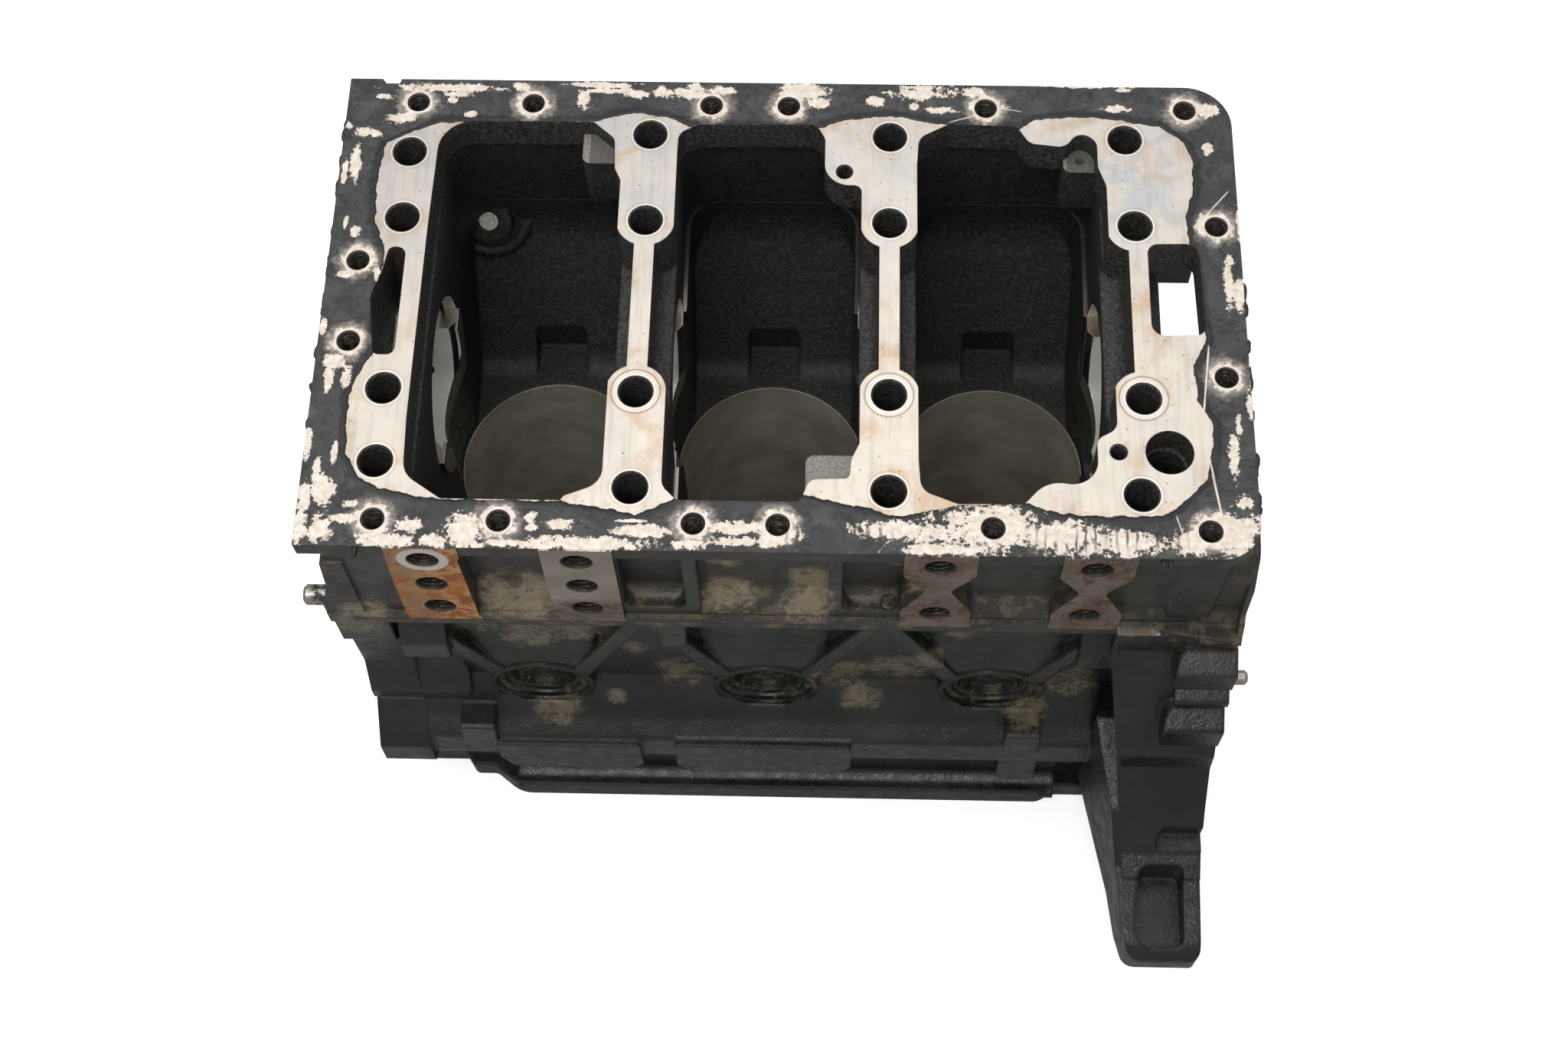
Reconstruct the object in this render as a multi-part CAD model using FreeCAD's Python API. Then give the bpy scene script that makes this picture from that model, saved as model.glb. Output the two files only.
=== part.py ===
import FreeCAD, Part
import math
import os

os.makedirs("parts", exist_ok=True)
V = FreeCAD.Vector

# Bare block of a small inline three-cylinder engine, stored upside down: it
# stands on its head face, the oil pan face is on top.  Millimetres.
# Origin: crankshaft axis, at the middle cylinder.  +X runs along the crank
# towards the flywheel end, +Z from the crank axis up to the pan face.

# ---------------------------------------------------------------- main sizes
bore_dia = 75.0            # cylinder bore
bore_pitch = 88.0          # spacing of the cylinders
main_bore_r = 24.5         # crankshaft main bore
pan_z = 62.0               # crank axis to pan face
deck_z = -188.0            # crank axis to head face
timing_depth = 25.0        # first web to the timing face
rear_depth = 40.0          # last web to the flywheel face
rail_step = 2.8            # the pan rail ends this much before the flywheel face
rail_y = 95.5              # half width of the pan rail
rail_t = 7.0               # thickness of the pan rail flange

cyl_x = [(i - 1) * bore_pitch for i in range(3)]     # cylinder axes
web_x = [(i - 1.5) * bore_pitch for i in range(4)]   # main bearing webs
web_a, web_b, web_c, web_d = web_x
end_l = web_a - timing_depth             # timing end of both castings
end_r = web_d + rear_depth               # flywheel face of the block
rail_r = end_r - rail_step
cap_half = 10.2            # half thickness of a web in the lower crankcase
web_half = 11.6            # half thickness of a web in the block
ring_r = 33.5              # machined round face beside each main bore
rib_half = 3.65            # half width of the narrow rib over each bearing
land_t = 15.0              # thickness of the lands that flare from the webs

bay_front = -77.0          # inner wall of the crankcase, front side
bay_back = 84.0            # inner wall of the crankcase, back side
mouth_z = -69.0            # crankcase end of the cylinders
bore_clear = 1.0           # the webs stand this far back from the bore above it

main_bolt_r = 5.75         # clearance hole for a main bolt
bolt_boss_r = 10.6         # round boss about an inner main bolt
inner_bolt_y = 35.0
outer_bolt_y = [63.3, 72.0, 72.0, 72.0]
outer_bolt_x = [web_a, web_b, web_c, web_d - 2.2]
pan_hole_r = 3.4           # tapped holes in the pan rail
pan_hole_depth = 20.0
pan_hole_y = 85.2

plug_r = 17.5              # core plug and its seat, pressed line to line
plug_z = -78.0
plug_y = 90.0              # rim of the pressed plugs, front and back
dowel_r = 3.8              # locating dowels of the timing face
dowel_tip = 7.5            # how far they stand out
pin_r = 2.7                # locating pins of the flywheel face
pin_tip = 5.0
ring_out_r = 7.6           # hollow dowels of the joint, round a main bolt
ring_half = 6.0            # half length of a hollow dowel
ring_spare = 0.3           # its seats are this much deeper
gallery_r = 4.5            # drilled oil gallery


# ------------------------------------------------------------------ helpers
def outline(points):
    # closed flat face from corners (u, v, corner radius)
    n = len(points)
    corners = []
    for i in range(n):
        u, v, r = points[i]
        p = V(u, v, 0)
        a = V(points[i - 1][0], points[i - 1][1], 0) - p
        b = V(points[(i + 1) % n][0], points[(i + 1) % n][1], 0) - p
        if r <= 0:
            corners.append((p, p, None))
            continue
        half = a.getAngle(b) / 2.0
        reach = r / math.tan(half)
        a.normalize()
        b.normalize()
        middle = (a + b)
        middle.normalize()
        centre = p + middle * (r / math.sin(half))
        corners.append((p + a * reach, p + b * reach, centre - middle * r))
    edges = []
    for i in range(n):
        start, stop, top = corners[i]
        if top is not None:
            edges.append(Part.Arc(start, top, stop).toShape())
        following = corners[(i + 1) % n][0]
        if (following - stop).Length > 1e-6:
            edges.append(Part.LineSegment(stop, following).toShape())
    return Part.Face(Part.Wire(edges))


def prism(points, plane, low, high):
    # outline drawn in xy, yz or xz, then run from low to high along the third
    solid = outline(points).extrude(V(0, 0, high - low))
    if plane == "xy":
        m = FreeCAD.Matrix(1, 0, 0, 0, 0, 1, 0, 0, 0, 0, 1, low, 0, 0, 0, 1)
    elif plane == "yz":
        m = FreeCAD.Matrix(0, 0, 1, low, 1, 0, 0, 0, 0, 1, 0, 0, 0, 0, 0, 1)
    else:
        m = FreeCAD.Matrix(1, 0, 0, 0, 0, 0, -1, high, 0, 1, 0, 0, 0, 0, 0, 1)
    solid.Placement = FreeCAD.Placement(m)
    return solid


def box(x0, x1, y0, y1, z0, z1):
    return Part.makeBox(x1 - x0, y1 - y0, z1 - z0, V(x0, y0, z0))


def rod(radius, start, end):
    path = V(*end) - V(*start)
    return Part.makeCylinder(radius, path.Length, V(*start), path)


def taper(r0, r1, start, end):
    path = V(*end) - V(*start)
    return Part.makeCone(r0, r1, path.Length, V(*start), path)


def hole_down(x, y, top, bottom, radius, lead):
    # drilled from above, with a lead chamfer
    cone = taper(radius + lead, radius, (x, y, top), (x, y, top - lead))
    return rod(radius, (x, y, top + 1), (x, y, bottom)).fuse(cone)


def hole_in(x, y, z, depth, radius, lead):
    # drilled from the front into a side face
    cone = taper(radius + lead, radius, (x, y, z), (x, y + lead, z))
    return rod(radius, (x, y - 1, z), (x, y + depth, z)).fuse(cone)


def save(shape, name):
    shape = shape.removeSplitter()
    if not shape.isValid():
        shape.fix(0.001, 0.001, 0.001)
    print(name, shape.isValid(), len(shape.Solids), len(shape.Faces), round(shape.Volume / 1000.0, 1))
    shape.exportStep("parts/" + name + ".step")


# ======================================================== LOWER CRANKCASE
# Pan rail: square corners at the timing end, round ones at the flywheel end.
rail = prism([(end_l, -rail_y, 0.5), (rail_r, -rail_y, 14.0), (rail_r, rail_y, 17.0),
              (end_l + 19.0, rail_y, 0), (end_l + 18.5, rail_y - 2, 0), (end_l + 13.5, rail_y - 2, 0),
              (end_l + 12.0, rail_y, 0), (end_l, rail_y, 0.5)], "xy", pan_z - rail_t, pan_z)

# Walls under the rail.  The timing end curves out from the rail to the joint.
wall_l = end_l + 6.0
lower = prism([(wall_l, -94.0, 3), (rail_r - 1.5, -94.0, 17), (rail_r - 1.5, 93.0, 17),
               (wall_l, 93.0, 3)], "xy", 0.0, pan_z - rail_t)
foot = prism([(wall_l + 8, 0, 0), (end_l, 0, 0), (end_l, 9, 0), (wall_l - 1.5, 26, 0),
              (wall_l, 46, 0), (wall_l + 8, 46, 0)], "xz", -95.3, 93.0)
flange = prism([(end_l, -96.0, 0.5), (end_r - 32, -96.0, 0), (end_r - 22, -99.0, 3), (rail_r, -101.5, 2),
                (rail_r, 94.0, 8), (end_l, 94.0, 0.5)], "xy", 0.0, 3.0)
# The flywheel end runs out to the bell housing face below the rail.
flare_front = prism([(-70, 0, 0), (-101.5, 0, 0), (-99.6, 3, 0), (-97.5, 9, 2), (-94.6, 12, 3),
                     (-93, 30, 8), (-86, 45, 6), (-70, 48, 0)], "yz", end_r - 15.0, end_r)
flare_back = prism([(94, 0, 0), (94, 3, 0), (91, 30, 8), (84, 45, 6), (70, 48, 0), (70, 0, 0)], "yz",
                   end_r - 15.0, end_r)
lower = rail.fuse([lower, foot, flange, flare_front, flare_back])

# Four machined mounting pads on the front wall, two straight and two waisted.
pad_y = -96.0
pad_1, pad_2, pad_3, pad_4 = web_a + 18.0, web_b - 17.5, web_c + 18.0, web_d - 16.5
straight_pads = [(pad_1, 12.6, -1.0), (pad_2, 12.4, 0.0)]
pads = []
for x, half, lean in straight_pads:
    pads.append(prism([(x - half, pan_z - 0.2, 0), (x - half + lean, 30, 0), (x - half + lean, 0, 0),
                       (x + half - lean, 0, 0), (x + half, 30, 0), (x + half, pan_z - 0.2, 0)],
                      "xz", pad_y, -80.0))
for x in (pad_3, pad_4):
    pads.append(prism([(x - 12.5, pan_z - 0.2, 0), (x - 12.5, 45, 3), (x - 4.2, 32, 5), (x - 12.5, 14, 3),
                       (x - 12.5, 0, 0), (x + 12.5, 0, 0), (x + 12.5, 14, 3), (x + 4.2, 32, 5),
                       (x + 12.5, 45, 3), (x + 12.5, pan_z - 0.2, 0)], "xz", pad_y, -80.0))


def pocket(front_points, depth_y, floor_z):
    # recess in the front wall: its front view cut by a side profile whose
    # floor slopes out to the joint flange
    view = prism(front_points, "xz", -110.0, -70.0)
    side = prism([(-110, pan_z - rail_t, 0), (depth_y, pan_z - rail_t, 4), (depth_y, floor_z, 4),
                  (-95.0, 3.0, 0), (-110, 3.0, 0)], "yz", end_l - 3.0, end_r - 2.0)
    return view.common(side)


def deep_pocket(front_points):
    # rounded recess with a level floor
    side = prism([(-110, top, 0), (-85.5, top, 5), (-85.5, 8.5, 6), (-110, 8.5, 0)], "yz", end_l, end_r)
    return prism(front_points, "xz", -110.0, -70.0).common(side)


top = pan_z - rail_t
pockets = [
    pocket([(pad_1 + 12.5, 2, 0), (pad_2 - 12.5, 2, 0), (pad_2 - 12.5, top + 1, 5),
            (pad_1 + 11.5, top + 1, 5)], -87.0, 14.0),
    deep_pocket([(pad_2 + 13, 8.5, 5), (web_b + 17.5, 8.5, 5), (web_b + 17.5, top + 2, 4),
                 (pad_2 + 13, top + 2, 4)]),
    pocket([(web_b + 22.5, 2, 0), (web_c - 20, 2, 0), (web_c - 20, top + 1, 3),
            (web_b + 22.5, top + 1, 3)], -87.0, 14.0),
    deep_pocket([(web_c - 15.2, 8.5, 5), (pad_3 - 12.5, 8.5, 4), (pad_3 - 12.5, 24, 2), (pad_3 - 5, 32, 4),
                 (pad_3 - 12.5, 44, 2), (pad_3 - 12.5, top + 2, 3), (web_c - 15.2, top + 2, 3)]),
    pocket([(pad_3 + 13, 2, 0), (pad_4 - 12.5, 2, 0), (pad_4 - 12.5, 14, 3), (pad_4 - 4.5, 32, 5),
            (pad_4 - 12.5, 44, 3), (pad_4 - 13, top, 3), (pad_3 + 13, top, 3), (pad_3 + 13, 44, 3),
            (pad_3 + 4.5, 32, 5), (pad_3 + 13, 14, 3)], -88.0, 12.0),
    pocket([(pad_4 + 13, 2, 0), (end_r + 28, 2, 0), (end_r + 28, top, 0), (pad_4 + 13, top, 3),
            (pad_4 + 13, 44, 3), (pad_4 + 4.5, 32, 5), (pad_4 + 13, 14, 3)], -91.5, 10.0),
]

# The three crankcase bays, each with its own flared lands at the pan face.
bays = []
for i in range(3):
    x0 = web_x[i] + cap_half
    x1 = web_x[i + 1] - cap_half
    bays.append(prism([(x0, bay_front, 14), (x1, bay_front, 14), (x1, bay_back, 14), (x0, bay_back, 14)],
                      "xy", -1.0, pan_z - land_t))
back = 77.2
front = -76.4


def bay_mouth(web_l, left, web_r, right):
    # outline of a bay at the pan face: corners off its left web, then its right
    return [(web_l + x, y, r) for x, y, r in left] + [(web_r + x, y, r) for x, y, r in right]


bay_a = bay_mouth(
    web_a, [(23.5, front - 0.8, 3), (10.0, -68.0, 9), (9.2, -46.0, 0), (9.5, 30.0, 0), (10.4, back, 13)],
    web_b, [(-21.0, back, 2), (-13.0, 70.0, 4), (-12.3, 57.0, 4), (-10.0, 52.0, 3), (-9.8, -70.5, 8),
            (-22.5, -75.5, 3), (-23.5, front - 0.8, 0)])
bay_b = bay_mouth(
    web_b, [(15.8, front, 2), (10.6, -71.0, 6), (10.2, 65.0, 0), (10.4, 73.0, 5), (18.0, back - 0.5, 3)],
    web_c, [(-27.0, back, 4), (-23.7, 71.0, 4), (-23.7, 51.0, 9), (-10.2, 51.0, 3), (-10.1, -54.0, 3),
            (-12.8, -60.0, 3), (-13.4, -67.4, 2), (-27.0, -67.8, 4), (-30.0, front, 3)])
bay_c = bay_mouth(
    web_c, [(23.5, front, 2), (11.0, -71.5, 6), (10.2, -60.0, 0), (9.9, 60.0, 0), (10.6, 72.0, 6),
            (22.0, 78.2, 2)],
    web_d, [(-41.5, 77.4, 2), (-37.0, 70.0, 5), (-24.0, 68.5, 5), (-18.5, 76.0, 4.5), (-12.4, 71.0, 5),
            (-12.4, 60.0, 4), (-9.6, 52.0, 4), (-9.6, -47.0, 5), (-16.7, -51.0, 4), (-16.7, -70.0, 9),
            (-34.0, -67.0, 11), (-42.0, front + 0.4, 3)])
for points in (bay_a, bay_b, bay_c):
    bays.append(prism(points, "xy", pan_z - land_t - 1, pan_z + 1))

# Undercut lugs left rough beside the lands, a little below the pan face.
lugs = [prism([(web_b - 25.5, 64.5, 3), (web_b - 10, 64.5, 0), (web_b - 10, bay_back, 0),
               (web_b - 25.5, bay_back, 0)], "xy", 30, 54),
        prism([(web_c - 28.5, -78.0, 0), (web_c - 9, -78.0, 0), (web_c - 9, -55.8, 0),
               (web_c - 28.5, -55.8, 3)], "xy", 28, 56),
        prism([(web_d - 23.8, 64.3, 3), (web_d - 9.5, 64.3, 0), (web_d - 9.5, bay_back, 0),
               (web_d - 23.8, bay_back, 0)], "xy", 28, 52)]

# Narrow rib over each bearing: a groove down each side of the web between
# the bosses of the two inner bolts.
groove_floor = 41.0
grooves = []


def groove(x_rib, direction, reach):
    # side groove of a web: straight off the rib, then a round root
    far = x_rib + direction * reach
    bend = 6.0
    shape = [(x_rib, pan_z + 1, 0), (x_rib, groove_floor, bend), (far, groove_floor - 5, 0),
             (far, pan_z + 1, 0)]
    if direction < 0:
        shape.reverse()
    return prism(shape, "xz", -inner_bolt_y, inner_bolt_y)


for x in (web_b, web_c):
    grooves.append(groove(x - rib_half, -1, 14))
    grooves.append(groove(x + rib_half, 1, 14))
grooves.append(groove(web_d - 2.7, -1, 14))
bosses = []
for x in web_x:
    for s in (-1, 1):
        bosses.append(rod(bolt_boss_r, (x, s * inner_bolt_y, 20), (x, s * inner_bolt_y, pan_z + 2)))
grooves = [g.cut(bosses) for g in grooves]

# Timing end: curved slot over the seal bore.  Flywheel end: round-cornered
# window, and the hollow that the seal carrier and flywheel reach into.
seal_r = 36.0
slot = prism([(web_a - 5.2, -21.7, 2.5), (web_a + 2.5, -21.7, 3), (web_a + 2.6, 22.5, 3.5),
              (web_a - 3.5, 22.5, 2.5), (web_a - 5.2, 12.0, 5), (web_a - 8.4, 2.0, 12)], "xy",
             30.0, pan_z + 1)
seal_bore = rod(seal_r, (end_l - 1, 0, 0), (web_a - 5.5, 0, 0))
window = prism([(web_d + 4, -10.2, 5), (web_d + 23.2, -9.6, 4), (web_d + 22.2, 27.9, 5),
                (web_d + 4, 27.5, 4)], "xy", 36.0, pan_z + 1)
rear_x = web_d + 11.5
rear_hollow = prism([(-78, -1, 0), (84, -1, 0), (84, pan_z - 14, 8), (-78, pan_z - 14, 8)], "yz",
                    rear_x, end_r + 5)

lower = lower.fuse(pads)
lower = lower.cut(pockets)
lower = lower.cut(bays)
lower = lower.fuse(lugs)
lower = lower.cut(grooves)
lower = lower.cut([slot, seal_bore, window])
dowel_at = [(-90.6, 7.5), (86.0, 7.5)]      # y, z of the timing face dowels
pin_at = [(-106.5, -18.5), (89.0, -16.0)]   # y, z of the flywheel face pins
ring_at = [(outer_bolt_x[0], outer_bolt_y[0]), (outer_bolt_x[3], -outer_bolt_y[3])]
oil_x, oil_y = web_d + 7.9, -55.7           # oil riser beside the last web
oil_boss = rod(12.5, (oil_x, oil_y, 0), (oil_x, oil_y, pan_z))
corner_bosses = []
for s in (-1, 1):
    boss = rod(11.0, (rail_r - 17, s * pan_hole_y, 0), (rail_r - 17, s * pan_hole_y, pan_z - 1))
    corner_bosses.append(boss.common(box(web_d, rail_r - 3, -93.5, 92.5, 0, pan_z)))
lower = lower.cut(rear_hollow)
lower = lower.fuse([oil_boss] + corner_bosses)

# Main bores: plain half circle, with a wider relief beside the bearing.
shaft = rod(main_bore_r, (web_a - 18, 0, 0), (web_d + 18, 0, 0))
reliefs = []
for x in web_x:
    reliefs.append(rod(ring_r, (x + cap_half + 1, 0, 0), (x + cap_half - 5.5, 0, 0)))
for x in web_x[1:]:
    reliefs.append(rod(ring_r, (x - cap_half - 1, 0, 0), (x - cap_half + 5.5, 0, 0)))
lower = lower.cut([shaft] + reliefs)

# Drilled holes in the pan face.
holes = []
for x, x_out, y_out in zip(web_x, outer_bolt_x, outer_bolt_y):
    for s in (-1, 1):
        holes.append(hole_down(x, s * inner_bolt_y, pan_z, -1, main_bolt_r, 0.6))
        holes.append(hole_down(x_out, s * y_out, pan_z, -1, main_bolt_r, 0.6))
for x in (web_a + 1.3, cyl_x[0], web_b + 22.0, web_c - 37.4, cyl_x[2] - 8.8, rail_r - 17.0):
    for s in (-1, 1):
        holes.append(hole_down(x, s * pan_hole_y, pan_z, pan_z - pan_hole_depth, pan_hole_r, 0.8))
for x, y in ((end_l + 10.8, 16.6), (end_l + 10.8, -16.4), (rail_r - 8.2, 35.1), (rail_r - 8.2, -26.3)):
    holes.append(hole_down(x, y, pan_z, pan_z - 12.0, pan_hole_r, 0.8))
for x, y in ((web_c - 16.5, 56.7), (web_d - 9.5, -55.8)):
    holes.append(hole_down(x, y, pan_z, pan_z - land_t - 1, 2.6, 0.6))
holes.append(rod(8.3, (oil_x, oil_y, pan_z + 1), (oil_x, oil_y, pan_z - 13)))
holes.append(rod(7.3, (oil_x, oil_y, pan_z), (oil_x, oil_y, 12)))
holes.append(rod(1.7, (web_d - 17.4, 69.5, 60), (web_d - 17.4, 69.5, 44)))
# Tapped holes of the front pads.
for x in (pad_1 - 0.3, pad_2 - 0.2):
    for z in (52.4, 32.0, 12.0):
        holes.append(hole_in(x, pad_y, z, 15.0, 5.2, 0.5))
for x in (pad_3 - 0.1, pad_4 - 0.6):
    for z in (52.6, 12.5):
        holes.append(hole_in(x, pad_y, z, 15.0, 5.2, 0.5))
# Seats of the dowels, and cover bolt holes of the timing face.
for y, z in dowel_at:
    holes.append(rod(dowel_r, (end_l - 1, y, z), (end_l + 10, y, z)))
for x, y in ring_at:
    holes.append(rod(ring_out_r, (x, y, -1), (x, y, ring_half + ring_spare)))
for y in (-62.0, 62.0):
    holes.append(rod(pan_hole_r, (end_l - 1, y, 6.5), (end_l + 14, y, 6.5)))
# Seat of the small plug in the front pocket.
plug_foot = V(web_c + 1.6, -90.6, 8.5)
plug_up = V(0, 0, 1)
holes.append(rod(2.8, plug_foot - plug_up * 6, plug_foot + plug_up * 1))
lower = lower.cut(holes)
save(lower, "lower_crankcase")


# ============================================================ CYLINDER BLOCK
deck_t = 12.0
wall_front = -86.0
wall_back = 88.0

core = box(end_l, rear_x, wall_front, wall_back, deck_z, 0.0)
joint_flange = prism([(end_l, -96.0, 0.5), (end_r - 32, -96.0, 0), (end_r - 22, -99.0, 3),
                      (end_r, -101.5, 2), (end_r, 94.0, 3), (end_l, 94.0, 0.5)], "xy", -4.6, 0.0)
deck_flange = prism([(end_l + 2, -85.5, 4), (end_l + 23.5, -85.5, 2), (end_l + 28, -92.4, 3),
                     (end_l + 37, -92.4, 4), (end_l + 48, -101.0, 14), (end_r - 56, -101.0, 8),
                     (end_r - 50, -97.5, 6), (end_r - 32, -97.5, 3), (end_r - 32, 96.0, 12),
                     (end_l + 2, 96.0, 12)], "xy", deck_z, deck_z + deck_t)

# Swellings of the front wall: oil gallery, two flat bars and the step that
# runs out to the timing face.
gallery = prism([(-80, -78, 0), (-87, -80, 6), (-96, -100, 8), (-104, -106, 4), (-104, -126, 4),
                 (-93, -131, 3), (-80, -131, 0)], "yz", end_l + 20, web_d)
lower_wall = prism([(-80, -125, 0), (-94, -125, 0), (-93, -150, 8), (-92, -174, 3), (-101, -178, 2),
                    (-101, -182, 0), (-80, -182, 0)], "yz", end_l + 48, end_r - 50)
timing_step = prism([(-80, 0, 0), (-93.5, 0, 0), (-93.5, -28, 1), (-88, -38, 0), (-87, -66, 0),
                     (-93, -84.5, 2), (-93, -92, 2), (-88, -94, 0), (-80, -94, 0)], "yz", end_l, end_l + 20)
half_round = prism([(end_l + 17, -66, 0), (end_l + 40, -66, 8), (end_l + 40, -95, 12),
                    (end_l + 17, -95, 0)], "xz", -100, -80)
round_side = prism([(-80, -68, 0), (-86, -68, 0), (-93, -84.5, 2), (-93, -92, 2), (-86, -96, 0),
                    (-80, -96, 0)], "yz", end_l + 17, end_l + 47)
half_round = half_round.common(round_side)
timing_bulge = prism([(-80, -94, 0), (-91.5, -95.5, 1), (-99.4, -104, 8), (-106.8, -112, 3),
                      (-107.2, -128.5, 4), (-98, -132, 2), (-80, -132, 0)], "yz", end_l, end_l + 20.5)
bars = [prism([(web_a + 23, -107, 0), (web_a + 23, -122, 5), (web_a + 27.5, -133, 3),
               (web_b - 13, -134, 3), (web_b - 7, -128, 3), (web_b - 7, -107, 0)], "xz", -107, -88),
        prism([(web_b + 7, -105.5, 0), (web_b + 7, -128, 3), (web_b + 12, -134.5, 3),
               (web_c - 15, -134.5, 3), (web_c - 10, -128, 3), (web_c - 10, -105.5, 0)], "xz", -107, -88)]

# Core plug bosses, each at the foot of a V of ribs under the joint flange.
boss_y = -91.5
vees = []
seats = []
for x in cyl_x:
    vees.append(rod(plug_r + 3.2, (x, boss_y, plug_z), (x, -80, plug_z)))
    for s in (-1, 1):
        vees.append(prism([(x + s * 13.5, -62, 0), (x + s * 19.0, -68, 0), (x + s * 50.0, -2, 0),
                           (x + s * 43.5, -2, 0)][::s], "xz", boss_y, -80))
    panel = prism([(x - 33, -4, 0), (x - 17, -64, 6), (x + 17, -64, 6), (x + 33, -4, 0)], "xz", -100, -80)
    slope = prism([(-80, -30, 0), (-86, -34, 0), (-90.5, -56, 4), (-90.5, -70, 0), (-80, -70, 0)],
                  "yz", x - 45, x + 45)
    vees.append(panel.common(slope))
    seats.append(rod(plug_r, (x, boss_y - 1, plug_z), (x, boss_y + 9.5, plug_z)))
    seats.append(rod(plug_r - 2.5, (x, boss_y, plug_z), (x, -58, plug_z)))
    seats.append(taper(plug_r + 1, plug_r, (x, boss_y, plug_z), (x, boss_y + 1, plug_z)))
back_plug_x = cyl_x[:2]
for x in back_plug_x:
    seats.append(rod(plug_r, (x, -boss_y + 1, plug_z), (x, -boss_y - 9.5, plug_z)))
    seats.append(rod(plug_r - 2.5, (x, -boss_y, plug_z), (x, 60, plug_z)))
    seats.append(taper(plug_r + 1, plug_r, (x, -boss_y, plug_z), (x, -boss_y - 1, plug_z)))

# Square lugs under the joint flange and small ones on the gallery.
lug_side = [(-80, -2, 0), (-87, -5, 0), (-96, -27, 1.5), (-96, -41, 3), (-80, -44, 0)]
block_lugs = []
for x0, x1 in ((end_l + 22, end_l + 39), (web_d - 14.5, web_d + 7.5)):
    face = prism([(x0, -1, 0), (x0, -43, 4), (x1, -43, 4), (x1, -1, 0)], "xz", -100, -80)
    block_lugs.append(face.common(prism(lug_side, "yz", x0 - 1, x1 + 1)))
small_side = [(-84, -92, 0), (-91, -94, 1), (-104.8, -93.5, 1.5), (-104.8, -112, 0), (-84, -112, 0)]
for x0, x1 in ((web_a + 9.8, web_a + 23.6), (web_d - 36.9, web_d - 23.0)):
    block_lugs.append(prism(small_side, "yz", x0, x1))
flange_lug = prism([(web_b + 6, -3, 0), (web_b + 6, -28, 3), (web_b + 10, -31, 2), (web_b + 15.5, -31, 2),
                    (web_b + 16.5, -3, 0)], "xz", -100, -80)
lug_slope = prism([(-84, -3, 0), (-96, -3, 0), (-94.5, -29, 2), (-84, -33, 0)], "yz", web_b + 4, web_b + 19)
block_lugs.append(flange_lug.common(lug_slope))
block_lugs.append(prism([(web_d - 37, -120, 0), (web_d - 37, -152, 6), (web_d - 21.5, -152, 6),
                         (web_d - 21.5, -120, 0)], "xz", -103.0, -84))

# Flywheel end: wall that runs out to the bell housing face, ribbed outside,
# hollow inside, with one long foot.
outer = [(-60, 0, 0), (-98, 0, 0), (-98, -16, 6), (-113, -52, 10), (-121, -66, 6), (-122, -76, 4),
         (-134, -92.6, 8), (-146, -107, 8), (-156, -112, 0), (-156, -146, 0), (-100, -150, 10),
         (-84, -170, 10), (-60, -188, 0)]
skirt = prism(outer, "yz", end_r - 44, end_r)
flare = prism([(end_r - 44, 2, 0), (end_r - 44, -20, 10), (end_r - 35, -80, 20), (end_r - 29, -125, 10),
               (end_r - 37, -190, 0), (end_r + 2, -190, 0), (end_r + 2, 2, 0)], "xz", -200, -40)
skirt = skirt.common(flare)
back_skirt = prism([(60, 0, 0), (94, 0, 0), (94, -40, 6), (88, -58, 4), (76, -58, 4), (70, -40, 0),
                    (60, -40, 0)], "yz", rear_x - 2, end_r)
ear_plan = prism([(end_r - 43, -96, 0), (end_r - 40.2, -113, 20), (end_r - 33, -152, 25),
                  (end_r - 31.4, -172, 15), (end_r - 28.5, -186, 7), (end_r, -186, 4),
                  (end_r, -96, 0)], "xy", -170, -60)
ear_side = prism([(-100, -80, 0), (-134, -92.6, 0), (-151, -112, 6), (-180, -118.2, 10),
                  (-186, -123.5, 5), (-186, -137, 5), (-150, -146, 8), (-100, -150, 0)], "yz", end_r - 52,
                 end_r)
ear = ear_plan.common(ear_side)
ribs = []
for start, z1, z0, y, r in ((22.0, -5.5, -24.0, -110.0, 5), (20.0, -25.0, -34.5, -112.8, 3),
                            (22.5, -38.5, -59.0, -119.5, 5)):
    face = prism([(end_r - start, z1, r), (end_r - start, z0, r), (end_r + 8, z0, 0), (end_r + 8, z1, 0)],
                 "xz", -130, -90)
    side = prism([(-90, z1, 0), (y + 8, z1, 0), (y, z1 - 4, 1.5), (y, z0, 2), (-90, z0 - 1, 0)], "yz",
                 end_r - 32, end_r)
    ribs.append(face.common(side))

swellings = [gallery, lower_wall, timing_step, half_round, timing_bulge] + bars
block = core.fuse([joint_flange, deck_flange, skirt, back_skirt, ear] + swellings + vees + block_lugs + ribs)

# Plain back wall: bolt columns at the webs and a machined filter pad.
back_parts = []
for x in web_x[:3]:
    back_parts.append(prism([(x - 9, -3, 0), (x + 9, -3, 0), (x + 6, -120, 4), (x - 6, -120, 4)], "xz",
                            80, 94.0))
filter_x = cyl_x[2] - 3.0
back_parts.append(prism([(filter_x - 27, -60, 8), (filter_x + 27, -60, 8), (filter_x + 27, -112, 8),
                         (filter_x - 27, -112, 8)], "xz", 80, 95.5))
for x in back_plug_x:
    back_parts.append(rod(plug_r + 3.2, (x, 80, plug_z), (x, -boss_y, plug_z)))
block = block.fuse(back_parts)

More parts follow.
